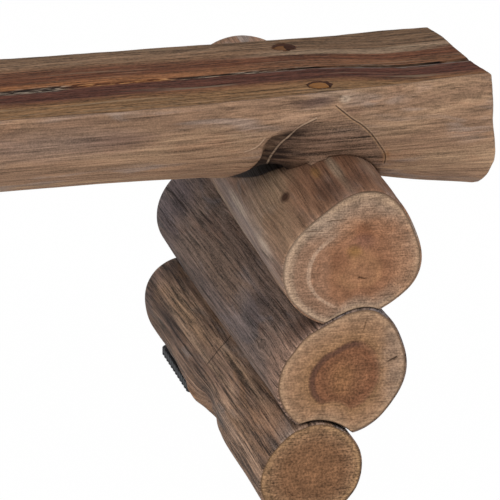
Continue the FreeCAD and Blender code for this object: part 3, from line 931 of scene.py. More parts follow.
class Seat:
    """The sawn half log with its pith crack, saddles, axe cuts and screw holes."""

    TOP_HALF = 52
    ARRIS_POINTS = 4
    BELLY = 124
    BELLY_ARC = 111.0
    COARSE_ROWS = 110
    FINE_ROWS = 236
    CAP_ROWS = 12
    TOP_CROWDING = 3.0
    RIM = 3.0
    BELLY_BULGE = 10.0

    def __init__(self, sizes: SeatSizes, right: NaturalLog, left: NaturalLog) -> None:
        self.sizes = sizes
        self.right = right
        self.left = left

    def section(self, x: Array) -> tuple[Array, Array, Array]:
        """The pole's axis across the bench, its height and its radius at x.

        Args:
            x: Places along the bench.

        Returns:
            The axis' place, its height and the radius.
        """
        s = self.sizes
        return (
            smooth_through(x, s.places, s.axis_y),
            SEAT_TOP - smooth_through(x, s.places, s.sinks),
            smooth_through(x, s.places, s.radii),
        )

    def crack_line(self, x: Array) -> Array:
        """The place of the pith crack across the bench at x, with splintery wandering."""
        base = smooth_through(x, self.sizes.crack_places, self.sizes.crack_y)
        return base + 1.3 * rough(x / 34, x * 0, 61, 0, 3)

    def build(self, top: bpy.types.Material, belly: bpy.types.Material, end: bpy.types.Material,
              drilled: bpy.types.Material) -> bpy.types.Object:
        """Lays closed sections along the seat and skins them.

        A section runs over the sawn top from the front arris to the back one, with points crowded at the
        crack, and back round the belly. The belly is lifted wherever a top log or an axe cut takes the
        wood away.

        Args:
            top: The finish of the sawn top.
            belly: The finish of the round side.
            end: The finish of both sawn ends.
            drilled: The finish of the counterbores.

        Returns:
            The seat.
        """
        s = self.sizes
        half = SEAT_LENGTH / 2
        x_rows = np.concatenate([
            np.linspace(-half, s.fine_from, self.COARSE_ROWS, endpoint=False),
            np.linspace(s.fine_from, half, self.FINE_ROWS),
        ])
        x_rows[1:-1] = np.clip(x_rows[1:-1], -half + 0.5, half - 0.5)
        x = x_rows[:, None]
        axis_y, axis_z, radius = self.section(x)
        crack = self.crack_line(x)
        sink = SEAT_TOP - axis_z
        reach = np.sqrt(radius**2 - sink**2)
        arris_front = s.arris + 2.0 * rough(x / 45, x * 0, 71, 0, 3)
        arris_back = s.arris + 2.0 * rough(x / 45, x * 0, 77, 0, 3)
        edge_front = axis_y - reach + 1.6 * rough(x / 60, x * 0, 73, 0, 3)
        edge_back = axis_y + reach + 1.5 + 1.2 * rough(x / 60, x * 0, 75, 0, 3)

        # Over the top
        t = np.sinh(self.TOP_CROWDING * np.linspace(0, 1, self.TOP_HALF + 1)) / math.sinh(self.TOP_CROWDING)
        front_half = crack + (edge_front + arris_front - crack) * t[None, ::-1]
        back_half = crack + (edge_back - arris_back - crack) * t[None, 1:]
        top_y = np.concatenate([front_half, back_half], axis=1)
        top_z, top_dark, top_open = self.sawn_top(x + 0 * top_y, top_y, top_y - crack)

        # Round the belly, from the back arris to the front one
        start = np.arcsin(sink / radius) - arris_back / radius
        stop = -math.pi - np.arcsin(sink / radius) + arris_front / radius
        phi = start + (stop - start) * np.linspace(0, 1, self.BELLY)[None, :]
        belly_y, belly_z, hollow, belly_dark = self.dressed_belly(x, phi)

        # The two arrises, curves that bend at the corner between top and belly
        k = (np.arange(1, self.ARRIS_POINTS + 1) / (self.ARRIS_POINTS + 1))[None, :]
        back = self.corner(top_y[:, -1:], top_z[:, -1:], edge_back, belly_y[:, :1], belly_z[:, :1], k)
        front = self.corner(belly_y[:, -1:], belly_z[:, -1:], edge_front, top_y[:, :1], top_z[:, :1], k)
        y = np.concatenate([top_y, back[0], belly_y, front[0]], axis=1)
        z = np.concatenate([top_z, back[1], belly_z, front[1]], axis=1)
        none = 0 * k + 0 * x
        dark = np.concatenate([top_dark, none, belly_dark, none], axis=1)
        hollows = np.concatenate([0 * top_y, none, hollow, none], axis=1)
        opened = np.concatenate([top_open, none, 0 * phi, none], axis=1)

        # The sawn ends, and where every point lies in the wood
        skin = self.worn_ends(x, y, z, crack, hollows)
        left_cap, left_grain = self.cap(skin[0], crack[0, 0])
        right_cap, right_grain = self.cap(skin[-1], crack[-1, 0])
        rows = np.concatenate([left_cap, skin, right_cap[::-1]])
        loop = y.shape[1]
        top_columns = top_y.shape[1]
        flat = np.zeros((self.CAP_ROWS, loop))
        straight = smooth_through(x, s.crack_places, s.crack_y)
        on_top = (np.arange(loop) < top_columns)[None, :]
        grain = np.stack([skin[..., 0], skin[..., 1] - straight * on_top, skin[..., 2] - SEAT_TOP], axis=-1)
        paint = self.belly_paint(x + 0 * phi, belly_y, belly_z, top_columns, flat)
        paint.floats["dark"] = np.concatenate([flat, dark, flat])
        paint.floats["open"] = np.concatenate([flat, opened, flat])
        paint.vectors["grain"] = np.concatenate([left_grain, grain, right_grain[::-1]]) * MM
        mesh = loft_mesh(s.node, rows, Cap.POINT, paint)
        row_slots = np.where(np.arange(loop) < top_columns - 1, 0, 1)
        cap_slots = np.full((self.CAP_ROWS, loop), 2)
        slots = np.concatenate([cap_slots, np.broadcast_to(row_slots, (len(x_rows) - 1, loop)), cap_slots])
        finish_rows(mesh, slots.reshape(-1))
        obj = place(mesh, "seat_wood", [top, belly, end, drilled], s.node)
        self.drill(obj, drilled)
        return obj

    def dressed_belly(self, x: Array, phi: Array) -> tuple[Array, Array, Array, Array]:
        """Points round the belly, once its front is dressed and the saddles and axe cuts are taken out.

        Args:
            x: Places along the bench, one a row.
            phi: Angles round the pole's axis, from the back over the underside to the front.

        Returns:
            Places across the bench, heights, 1 in the saddles and axe cuts, and how dark each point is:
            painted shade in the hollow and the axe cuts, and the knot's eye and crack.
        """
        s = self.sizes
        axis_y, axis_z, radius = self.section(x)
        x = x + 0 * phi
        grown = self.belly_radius(x, phi, radius)
        y = axis_y + grown * np.cos(phi)
        z = axis_z + grown * np.sin(phi)
        # The recess's dark is painted shade.
        recess, patched = self.recess(x, y, z)
        y = y - recess * np.cos(phi)
        z = z - recess * np.sin(phi)
        half_x, half_z = s.screw_cover_half
        over_screw = (np.abs(x - s.screw_place) < half_x) & (np.abs(z - s.screw_height) < half_z)
        over_screw &= y < s.screw_cover_y + s.screw_cover_depth
        y = np.where(over_screw, np.minimum(y, s.screw_cover_y), y)
        z, hollow, axed = self.notched(x, y, z)
        # Painted shade in the hollow by the lip and in the axe cuts, with the knot's own dark marks.
        dark = np.maximum(np.maximum(patched, 0.9 * axed), self.front_marks(x, z))
        return y, z, hollow, dark

    def belly_paint(self, x: Array, y: Array, z: Array, top_columns: int, flat: Array) -> Paint:
        """The stains, the facet and the lines on the front, as values of the whole skin.

        Args:
            x: Places of the belly's points along the bench.
            y: Places across it.
            z: Heights.
            top_columns: How many columns the sawn top has.
            flat: Noughts for the rows of one cap.

        Returns:
            The values for every point.
        """
        s = self.sizes
        marks = {"scribe_left": s.left_scribe, "scribe_right": s.right_scribe, "lip_mark": s.lip_mark}
        paint = Paint()
        for name, line in marks.items():
            away = self.distance_from(line, x, y, z)
            paint.floats[name] = self.padded(away, top_columns, flat) * MM
        paint.floats["arch"] = self.padded(self.arch_share(x, y, z), top_columns, flat, 0.0)
        colour_patch, cover = lay_colour_patches(s.colour_patches, x, z, rough(z / 5, x / 50, 141, 0, 3))
        paint.floats["patch_cover"] = self.padded(cover, top_columns, flat, 0.0)
        columns = [self.padded(colour_patch[..., k], top_columns, flat, 0.0) for k in range(3)]
        paint.vectors["colour_patch"] = np.stack(columns, axis=-1)
        return paint

    def worn_ends(self, x: Array, y: Array, z: Array, crack: Array, hollows: Array) -> Array:
        """The skin's points once the right end is bulged and the rims of both ends are worn round.

        A point within the rim's width of an end is drawn towards the pith by a quarter circle.

        Args:
            x: Places along the bench, one a row.
            y: Places across it.
            z: Heights.
            crack: The place of the crack across the bench, one a row.
            hollows: 1 in the saddles and axe cuts, whose edges stay sharp.

        Returns:
            The points, indexed by row, place round the loop, and axis.
        """
        s = self.sizes
        half = SEAT_LENGTH / 2
        pith_z = SEAT_TOP - s.pith_depth
        low_part = smooth_step(SEAT_TOP - z, 45, 110)
        bulge = smooth_through(y, s.end_places_y, s.end_bulge) + self.BELLY_BULGE * low_part
        bulged_x = x + smooth_step(x, half - 60, half) * bulge
        for sign in (-1, 1):
            rim = self.RIM + 1.2 * rough(y / 25, z / 25, 81 + sign, 0, 2)
            inside = np.clip((rim - (half - sign * x)) / rim, 0, 1)
            shrink = rim * (1 - np.sqrt(1 - inside**2)) * (hollows < 0.5)
            away = np.hypot(y - crack, z - pith_z)
            y = y - (y - crack) * shrink / away
            z = z - (z - pith_z) * shrink / away
        return np.stack([bulged_x, y, z], axis=-1)

    def cap(self, rim: Array, crack_y: float) -> tuple[Array, Array]:
        """Rows of points that shrink from a sawn end's rim to its pith, and where they lie in the wood.

        Args:
            rim: The points of the rim.
            crack_y: The pith's place across the bench.

        Returns:
            The points, and their places from the pith and the sawn top.
        """
        centre = np.array([rim[:, 0].mean(), crack_y, SEAT_TOP - self.sizes.pith_depth])
        share = np.linspace(0, 1, self.CAP_ROWS, endpoint=False)[:, None, None]
        points = centre + share * (rim[None] - centre)
        return points, points - [0, crack_y, SEAT_TOP]

    @staticmethod
    def corner(y0: Array, z0: Array, corner_y: Array, y1: Array, z1: Array, k: Array) -> tuple[Array, Array]:
        """Points on a curve from one side of an arris to the other, drawn towards the square corner."""
        a, b, c = (1 - k) ** 2, 2 * k * (1 - k), k**2
        return a * y0 + b * corner_y + c * y1, a * z0 + b * SEAT_TOP + c * z1

    def sawn_top(self, x: Array, y: Array, across: Array) -> tuple[Array, Array, Array]:
        """The height of the sawn face, how torn its pith is, and where the crack stands open.

        The face waves by half a millimetre. Along the pith runs a torn band 4 to 9 mm wide and 1 to 2 mm
        deep; from open_from to the end it is an open wedge that widens towards the end.

        Args:
            x: Places along the bench.
            y: Places across it.
            across: Places across it from the crack's line.

        Returns:
            The height, how torn the wood is and whether the crack is open, both from 0 to 1.
        """
        s = self.sizes
        z = SEAT_TOP - 0.2 + 0.4 * rough(y / 40, x / 160, 91, 0, 2) + 0.18 * rough(y / 3, x / 60, 93, 0, 2)
        band = (4.5 + 2.5 * rough(x / 50, x * 0, 95, 0, 3)) * (1.4 - 0.4 * smooth_step(x, 440, 490))
        closed = 1 - smooth_step(x, s.open_from - 40, s.open_from + 20)
        torn = np.exp(-((across / band) ** 2)) * (0.35 + 0.65 * closed)
        z = z - torn * (1.0 + 0.9 * rough(y / 1.7, x / 22, 97, 0, 2))
        part = np.clip((x - s.open_from) / (SEAT_LENGTH / 2 - s.open_from), 0, 1)
        half_width = (s.first_width + (s.open_width - s.first_width) * part) / 2 * (x > s.open_from) + 1e-6
        depth = (s.first_depth + (s.open_depth - s.first_depth) * part) * (x > s.open_from)
        wedge = np.clip(1 - np.abs(across) / half_width, 0, 1)
        z = z - depth * np.sqrt(wedge)
        frayed = np.exp(-((across / (band * 1.25)) ** 4)) * (0.45 + 0.55 * closed)
        opened = 1 - smooth_step(np.abs(across), half_width, half_width + 0.8)
        return z, np.clip(1.1 * frayed, 0, 1), opened * (x > s.open_from)

    @staticmethod
    def belly_radius(x: Array, phi: Array, radius: Array) -> Array:
        """The belly's radius: the pole's, with slow swellings and fibre ridges.

        Args:
            x: Places along the bench.
            phi: Angles round the axis.
            radius: The pole's radius.

        Returns:
            The radius.
        """
        arc = phi * Seat.BELLY_ARC
        swell = 1.6 * rough(arc / 120, x / 190, 101, 0, 2)
        ridges = 0.5 * rough(arc / 6 + rough(arc / 60, x / 120, 103, 0, 1), x / 90, 105, 0, 2)
        return radius + swell + ridges

    def padded(self, values: Array, top_columns: int, flat: Array, rest: float = 1000.0) -> Array:
        """Belly values as values of the whole skin, with one value everywhere else.

        Args:
            values: Values on the belly.
            top_columns: How many columns the sawn top has.
            flat: Noughts for the rows of one cap.
            rest: The value everywhere else.

        Returns:
            Values for every point.
        """
        rows, loop = len(values), flat.shape[1]
        whole = np.full((rows, loop), rest)
        start = top_columns + self.ARRIS_POINTS
        whole[:, start:start + values.shape[1]] = values
        return np.concatenate([flat + rest, whole, flat + rest])

    def arch_share(self, x: Array, y: Array, z: Array) -> Array:
        """1 on the facet dressed flat over the right stack, on the seat's front, and 0 beyond it.

        Args:
            x: Places along the bench.
            y: Places across it.
            z: Heights.

        Returns:
            How much of the facet each point has.
        """
        s = self.sizes
        right = smooth_through(z, s.arch_heights, s.arch_right)
        left = smooth_through(z, s.arch_heights, s.arch_left)
        inside = smooth_step(x, left - 3, left + 3) * (1 - smooth_step(x, right - 3, right + 3))
        return inside * (1 - smooth_step(z, 398, 424)) * (y < -100) * (z > 340)

    def recess(self, x: Array, y: Array, z: Array) -> tuple[Array, Array]:
        """How deep the front is dressed back over the right stack, and how dark the painted shade there is.

        Right of the lip the hollow drops at once to hollow_depth and rises again over some 40 mm; the
        facet under the arch lies back by about a millimetre, unevenly. The hollow right of the lip is
        darkened as the lip's painted shadow, frayed by random fields, and the gap below it is painted nearly
        black as painted shade.

        Args:
            x: Places along the bench.
            y: Places across it.
            z: Heights.

        Returns:
            The depth in millimetres, and how dark the painted shade is, from 0 to 1.
        """
        s = self.sizes
        beyond = x - smooth_through(z, s.lip_heights, s.lip_places)
        low = (1 - smooth_step(z - 0.3 * (x - 650), 388, 402)) * (y < -60)
        edge = smooth_step(beyond, -1, 7)
        fade = np.exp(-np.maximum(beyond, 0) / 22) * edge * low
        dressed = 0.6 + 0.6 * rough(z / 4, x / 30, 121, 0, 2)
        facet = self.arch_share(x, y, z) * dressed * smooth_step(z, 362, 378)
        lip = 1.5 * np.exp(-((beyond + 8) / 9) ** 2) * low
        # Painted shade: the lip's shadow in the hollow, and the nearly black gap below it over the log.
        colour_patch = 0.75 * np.exp(-(((beyond - 20) / 27) ** 2)) * smooth_step(beyond, -1, 3) * low
        deep = smooth_step(beyond, 0, 4) * (1 - smooth_step(z, 350, 374)) * (1 - smooth_step(x, 684, 706))
        torn = value_noise(z / 2.6, x / 40, 123) * 1.1 + 0.5 * value_noise(z / 1.6, x / 16, 125) - 0.15
        dark = np.clip(np.maximum(colour_patch * (0.5 + torn), deep * (y < -60)), 0, 0.95)
        return s.hollow_depth * fade + facet - lip, dark

    @staticmethod
    def distance_from(line: tuple[Point, ...], x: Array, y: Array, z: Array) -> Array:
        """Distance on the seat's front from a smooth line through points, positive on its upper side.

        The line is walked in short steps, and each place takes its offset from the nearest step, measured
        square to the line. Beyond the line's ends, and off the front, it is far.

        Args:
            line: The line's points, as x and z.
            x: Places along the bench.
            y: Places across it.
            z: Heights.

        Returns:
            The distance in millimetres.
        """
        places = np.array(line, float)
        order = np.arange(len(line), dtype=float)
        steps = np.linspace(0, len(line) - 1, 90)
        walk_x = smooth_through(steps, tuple(order), tuple(places[:, 0]))
        walk_z = smooth_through(steps, tuple(order), tuple(places[:, 1]))
        run_x, run_z = np.gradient(walk_x), np.gradient(walk_z)
        length = np.hypot(run_x, run_z)
        distance = np.full(x.shape, 1000.0)
        low, high = places.min(axis=0) - 12, places.max(axis=0) + 12
        near = (x > low[0]) & (x < high[0]) & (z > low[1]) & (z < high[1]) & (y < -100)
        from_x = x[near][:, None] - walk_x
        from_z = z[near][:, None] - walk_z
        nearest = np.argmin(from_x**2 + from_z**2, axis=1)
        pick = np.arange(len(nearest)), nearest
        side = (run_x[nearest] * from_z[pick] - run_z[nearest] * from_x[pick]) / length[nearest]
        ahead = (run_x[nearest] * from_x[pick] + run_z[nearest] * from_z[pick]) / length[nearest]
        distance[near] = np.where(np.abs(ahead) < 1.5, side, 1000.0)
        return distance

    def front_marks(self, x: Array, z: Array) -> Array:
        """Small dark marks on the front: the eye of the knot and the crack beside it.

        Args:
            x: Places along the bench.
            z: Heights.

        Returns:
            How dark each point is.
        """
        (eye_x, eye_z), (crack_x, crack_z) = self.sizes.knot_eye, self.sizes.knot_crack
        eye = np.exp(-(((x - eye_x) / 1.6) ** 2 + ((z - eye_z) / 1.6) ** 2))
        crack = np.exp(-(((x - crack_x) / 3.2) ** 2 + ((z - crack_z) / 1.3) ** 2))
        return np.maximum(0.8 * eye, 0.7 * crack)

    def notched(self, x: Array, y: Array, z: Array) -> tuple[Array, Array, Array]:
        """The belly's height without the saddles and axe cuts, 1 where either is, and 1 in the axe cuts.

        Args:
            x: Places along the bench.
            y: Places across it.
            z: Heights.

        Returns:
            The heights and both shares.
        """
        s = self.sizes
        lifted = z.copy()
        cut = np.zeros(z.shape)
        axed = np.zeros(z.shape)
        for side, cross in ((1, self.right), (-1, self.left)):
            ceiling = cross.top_at(x, y)
            beside = np.abs(side * x - s.relief_place)
            chop = 0.8 * rough(x / 9, y / 14, 111, 0, 2)
            relief = s.relief_centre_z + np.sqrt(np.maximum((s.relief_radius + chop) ** 2 - beside**2, 0))
            relief = np.where(beside < s.relief_radius + chop, relief, -1000.0)
            ceiling = np.maximum(ceiling, relief)
            cut = np.where(ceiling > lifted, 1.0, cut)
            axed = np.where((relief >= ceiling) & (relief > lifted), 1.0, axed)
            lifted = np.maximum(lifted, ceiling)
        return lifted, cut, axed

    def drill(self, obj: bpy.types.Object, drilled: bpy.types.Material) -> None:
        """Takes the four counterbores out of the seat, each down to the plug's own depth.

        Args:
            obj: The seat.
            drilled: The finish of the bores.
        """
        s = self.sizes
        turn = np.linspace(0, 2 * math.pi, 64, endpoint=False)
        holes = []
        for index, (side, y) in enumerate((side, y) for side in (1, -1) for y in s.plug_rows_y):
            ring_x = side * s.plug_place + s.plug_radius * np.cos(turn)
            ring_y = y + s.plug_radius * np.sin(turn)
            heights = (SEAT_TOP + s.plug_depth, SEAT_TOP - s.plug_depth)
            rows = np.stack([np.stack([ring_x, ring_y, np.full(turn.shape, z)], axis=-1) for z in heights])
            mesh = loft_mesh(f"counterbore_{index}", rows, Cap.FLAT)
            mesh.materials.append(drilled)
            hole = bpy.data.objects.new(mesh.name, mesh)
            bpy.context.scene.collection.objects.link(hole)
            modifier = obj.modifiers.new(mesh.name, "BOOLEAN")
            modifier.object = hole
            modifier.operation = "DIFFERENCE"
            modifier.solver = "EXACT"
            modifier.material_mode = "TRANSFER"
            holes.append(hole)
        bpy.context.view_layer.update()
        graph = bpy.context.evaluated_depsgraph_get()
        drilled_mesh = bpy.data.meshes.new_from_object(obj.evaluated_get(graph))
        obj.modifiers.clear()
        old = obj.data
        obj.data = drilled_mesh
        bpy.data.meshes.remove(old)
        drilled_mesh.name = s.node
        for hole in holes:
            bpy.data.meshes.remove(hole.data)


# Plugs


@dataclass(frozen=True)
class PlugSizes:
    """A turned plug: its node, its place, how its face lies and is broken, and how much painted shade dims
    it.
    """

    node: str
    x: float
    y: float
    face: float
    radius: float = 12.4
    bottom: float = 426.2
    chip_at: float = 20.0
    chip_depth: float = 0.0
    painted_shade: float = 0.0
    seed: int = 0

    def build(self, finish: bpy.types.Material) -> bpy.types.Object:
        """Rows that shrink to the middle of the bottom, climb the wall and shrink over the face.

        The face is fibrous, and right of chip_at it is broken down by chip_depth. The broken part is
        darkened by its depth, and the whole face by a set share, as painted shade.

        Args:
            finish: The plug's wood.

        Returns:
            The plug.
        """
        theta = np.linspace(0, 2 * math.pi, 96, endpoint=False)[None, :]
        over = np.cos(np.linspace(0, math.pi / 2, 24))
        out = np.concatenate([[0, 0.5, 1, 1], 0.98 * over[:-1], [0]])[:, None]
        on_face = np.concatenate([[0, 0, 0, 0.85], np.ones(24)])[:, None]
        x = self.radius * out * np.cos(theta)
        y = self.radius * out * np.sin(theta)
        worn = 1.2 * smooth_step(out, 0.72, 1.0)
        ragged_x = x + 1.5 * rough(y / 4, y * 0, self.seed, 0, 2)
        chip = self.chip_depth * smooth_step(ragged_x, self.chip_at, self.chip_at + 2)
        fibres = 0.3 * rough(y / 2.5, x / 9, self.seed, 0, 2)
        face = self.face + fibres - worn - chip
        z = self.bottom + (face - self.bottom) * on_face
        rows = np.stack([self.x + x, self.y + y, z], axis=-1)
        grain = np.stack([x, y, z - self.face], axis=-1)
        # Painted shade: the broken part darkens with its depth, and the whole face by a set share.
        dark = np.clip(np.maximum(chip / max(self.chip_depth, 1.0), self.painted_shade), 0, 1) * on_face
        paint = Paint(floats={"dark": dark + 0 * x}, vectors={"grain": grain * MM})
        mesh = loft_mesh(self.node, rows, Cap.POINT, paint)
        return place(mesh, "plug_wood", [finish], self.node)


# Rubber pads


@dataclass(frozen=True)
class PadSizes:
    """A ribbed rubber pad: its node, middle along the bench and low end across it."""

    node: str
    x: float
    low_y: float
    width: float = 70.0
    length: float = 136.0
    corner: float = 9.0
    pitch: float = 11.0
    groove: float = 4.0
    groove_depth: float = 3.0
    scallop: float = 0.7

    def build(self, finish: bpy.types.Material) -> bpy.types.Object:
        """Bevelled box sections along the pad.

        The half width draws in by a quarter circle at both ends and waves with the ribs; the underside
        rises in every groove.

        Args:
            finish: The pad's rubber.

        Returns:
            The pad.
        """
        y = np.linspace(0, self.length, 400)[:, None]
        to_end = np.minimum(y, self.length - y)
        draw_in = self.corner - np.sqrt(self.corner**2 - np.clip(self.corner - to_end, 0, self.corner) ** 2)
        phase = (y - self.length / 2) / self.pitch
        in_groove = np.abs(phase - np.round(phase)) * self.pitch < self.groove / 2
        groove = np.where(in_groove & (to_end > self.corner), self.groove_depth, 0.0)
        half = self.width / 2 - draw_in - self.scallop * (0.5 + 0.5 * np.cos(2 * math.pi * phase))
        side = np.array([-1, -1, -1, -1, 1, 1, 1, 1])[None, :]
        inset = np.array([0.7, 0, 0, 0.7, 0.7, 0, 0, 0.7])[None, :]
        level = np.array([0, 0.7, 9.3, 10, 10, 9.3, 0.7, 0])[None, :]
        x = self.x + side * (half - inset)
        z = np.where(level < 1, level + groove, level)
        rows = np.stack([x, self.low_y + y + 0 * x, z], axis=-1)
        mesh = loft_mesh(self.node, rows[:, ::-1], Cap.FLAT)
        mesh.polygons.foreach_set("use_smooth", np.zeros(len(mesh.polygons), bool))
        return place(mesh, "black_rubber", [finish], self.node)


# Finishes


Socket = bpy.types.NodeSocket
Color = tuple[float, float, float, float]
Stops = tuple[tuple[float, str], ...]


def linear(code: str) -> Color:
    """An sRGB colour such as "8a6a50" as linear red, green, blue and 1."""
    parts = [int(code[i:i + 2], 16) / 255 for i in (0, 2, 4)]
    red, green, blue = (c / 12.92 if c <= 0.04045 else ((c + 0.055) / 1.055) ** 2.4 for c in parts)
    return red, green, blue, 1.0


class Shader:
    """The nodes of a material or of the world, under construction."""

    USUAL_OPTIONS = {"MapRange": {"interpolation_type": "SMOOTHSTEP"}, "Mix": {"data_type": "RGBA"}}
    USUAL_OUTPUT = {"Attribute": "Fac", "Mix": 2}

    def __init__(self, owner: bpy.types.Material | bpy.types.World) -> None:
        owner.use_nodes = True
        owner.node_tree.nodes.clear()
        self.owner = owner

    def add(self, kind: str, inputs: tuple | dict = (), out: int | str | None = None, stops: Stops = (),
            **options: object) -> Socket | None:
        """Adds a node with its options, inputs and links.

        Args:
            kind: The node's kind, without the word ShaderNode.
            inputs: A socket to link, or a constant or an sRGB code to set, for each input in order or by key.
            out: The output that is wanted, where it isn't the usual one.
            stops: The places, from 0 to 1, and the sRGB codes of a colour ramp.
            options: The node's own options, over the usual ones of its kind.

        Returns:
            The output, if the node has any.
        """
        tree = self.owner.node_tree
        node = tree.nodes.new("ShaderNode" + kind)
        for key, value in {**self.USUAL_OPTIONS.get(kind, {}), **options}.items():
            setattr(node, key, value)
        for key, value in (inputs if isinstance(inputs, dict) else dict(enumerate(inputs))).items():
            if isinstance(value, Socket):
                tree.links.new(value, node.inputs[key])
            else:
                node.inputs[key].default_value = linear(value) if isinstance(value, str) else value
        if stops:
            band = node.color_ramp.elements
            while len(band) < len(stops):
                band.new(0.5)
            for element, (place_at, code) in zip(band, stops):
                element.position = place_at
                element.color = linear(code)
        if not len(node.outputs):
            return None
        return node.outputs[self.USUAL_OUTPUT.get(kind, 0) if out is None else out]

    def pattern(self, vector: Socket, size: tuple[float, float, float], detail: float = 2.0,
                twist: float = 0.0, spread: float = 0.0) -> Socket:
        """A random pattern whose grains have a given real size.

        Args:
            vector: The place at which it is read, in metres.
            size: The grains' size in millimetres along x, y and z.
            detail: How many finer patterns lie on it.
            twist: How much its grains are bent.
            spread: The values crowd round a half, and those this near to it are stretched to the whole of
                0 to 1; with 0 they stay as they are.

        Returns:
            The pattern, from 0 to 1.
        """
        scaled = self.add("VectorMath", (vector, tuple(1 / (mm * MM) for mm in size)), operation="MULTIPLY")
        grains = self.add("TexNoise", {"Vector": scaled, "Scale": 1.0, "Detail": detail, "Roughness": 0.55,
                                       "Distortion": twist})
        if not spread:
            return grains
        return self.add("MapRange", (grains, 0.5 - spread, 0.5 + spread), interpolation_type="LINEAR")

    def product(self, first: object, *others: object) -> Socket:
        """Values multiplied together."""
        for other in others:
            first = self.add("Math", (first, other), operation="MULTIPLY")
        return first

    def weigh(self, first: tuple[object, object], *others: tuple[object, object]) -> Socket:
        """The sum of values, each times its weight.

        Args:
            first: A value and its weight.
            others: More of them.

        Returns:
            The sum.
        """
        total = self.product(*first)
        for value, weight in others:
            total = self.add("Math", (value, weight, total), operation="MULTIPLY_ADD")
        return total

    def near(self, value: Socket, middle: float, half: float, full_share: float = 0.35) -> Socket:
        """1 where a value is near a middle, fading to 0 at half a width from it; all 1 over full_share."""
        beyond = self.add("Math", (value, middle), operation="SUBTRACT")
        away = self.add("Math", (beyond,), operation="ABSOLUTE")
        return self.add("MapRange", (away, full_share * half, half, 1, 0))

    def overlay(self, color: Socket, *layers: tuple[object, object]) -> Socket:
        """A colour under others: each layer is a share from 0 to 1 and the colour that covers by it."""
        for share, over in layers:
            color = self.add("Mix", {0: share, 6: color, 7: over})
        return color

    def relief(self, *layers: tuple[Socket, float]) -> Socket:
        """Relief of patterns laid one over another, each with its real depth in millimetres.

        Args:
            layers: Each pattern and its depth, the lowest first.

        Returns:
            The bent normal.
        """
        inputs = {"Strength": 1.0}
        for height, depth in layers:
            inputs["Normal"] = self.add("Bump", {**inputs, "Height": height, "Distance": depth * MM})
        return inputs["Normal"]

    def close(self, color: Socket, roughness: object, normal: Socket, metallic: float = 0.0,
              specular: float = 0.3) -> bpy.types.Material:
        """Ends a material with one surface.

        Args:
            color: The base colour.
            roughness: A constant, or a socket.
            normal: The relief.
            metallic: 1 for metal, else 0.
            specular: The level of the gloss.

        Returns:
            The material.
        """
        inputs = {"Base Color": color, "Roughness": roughness, "Metallic": metallic, "Normal": normal}
        surface = self.add("BsdfPrincipled", {**inputs, "Specular IOR Level": specular})
        self.add("OutputMaterial", {"Surface": surface})
        return self.owner


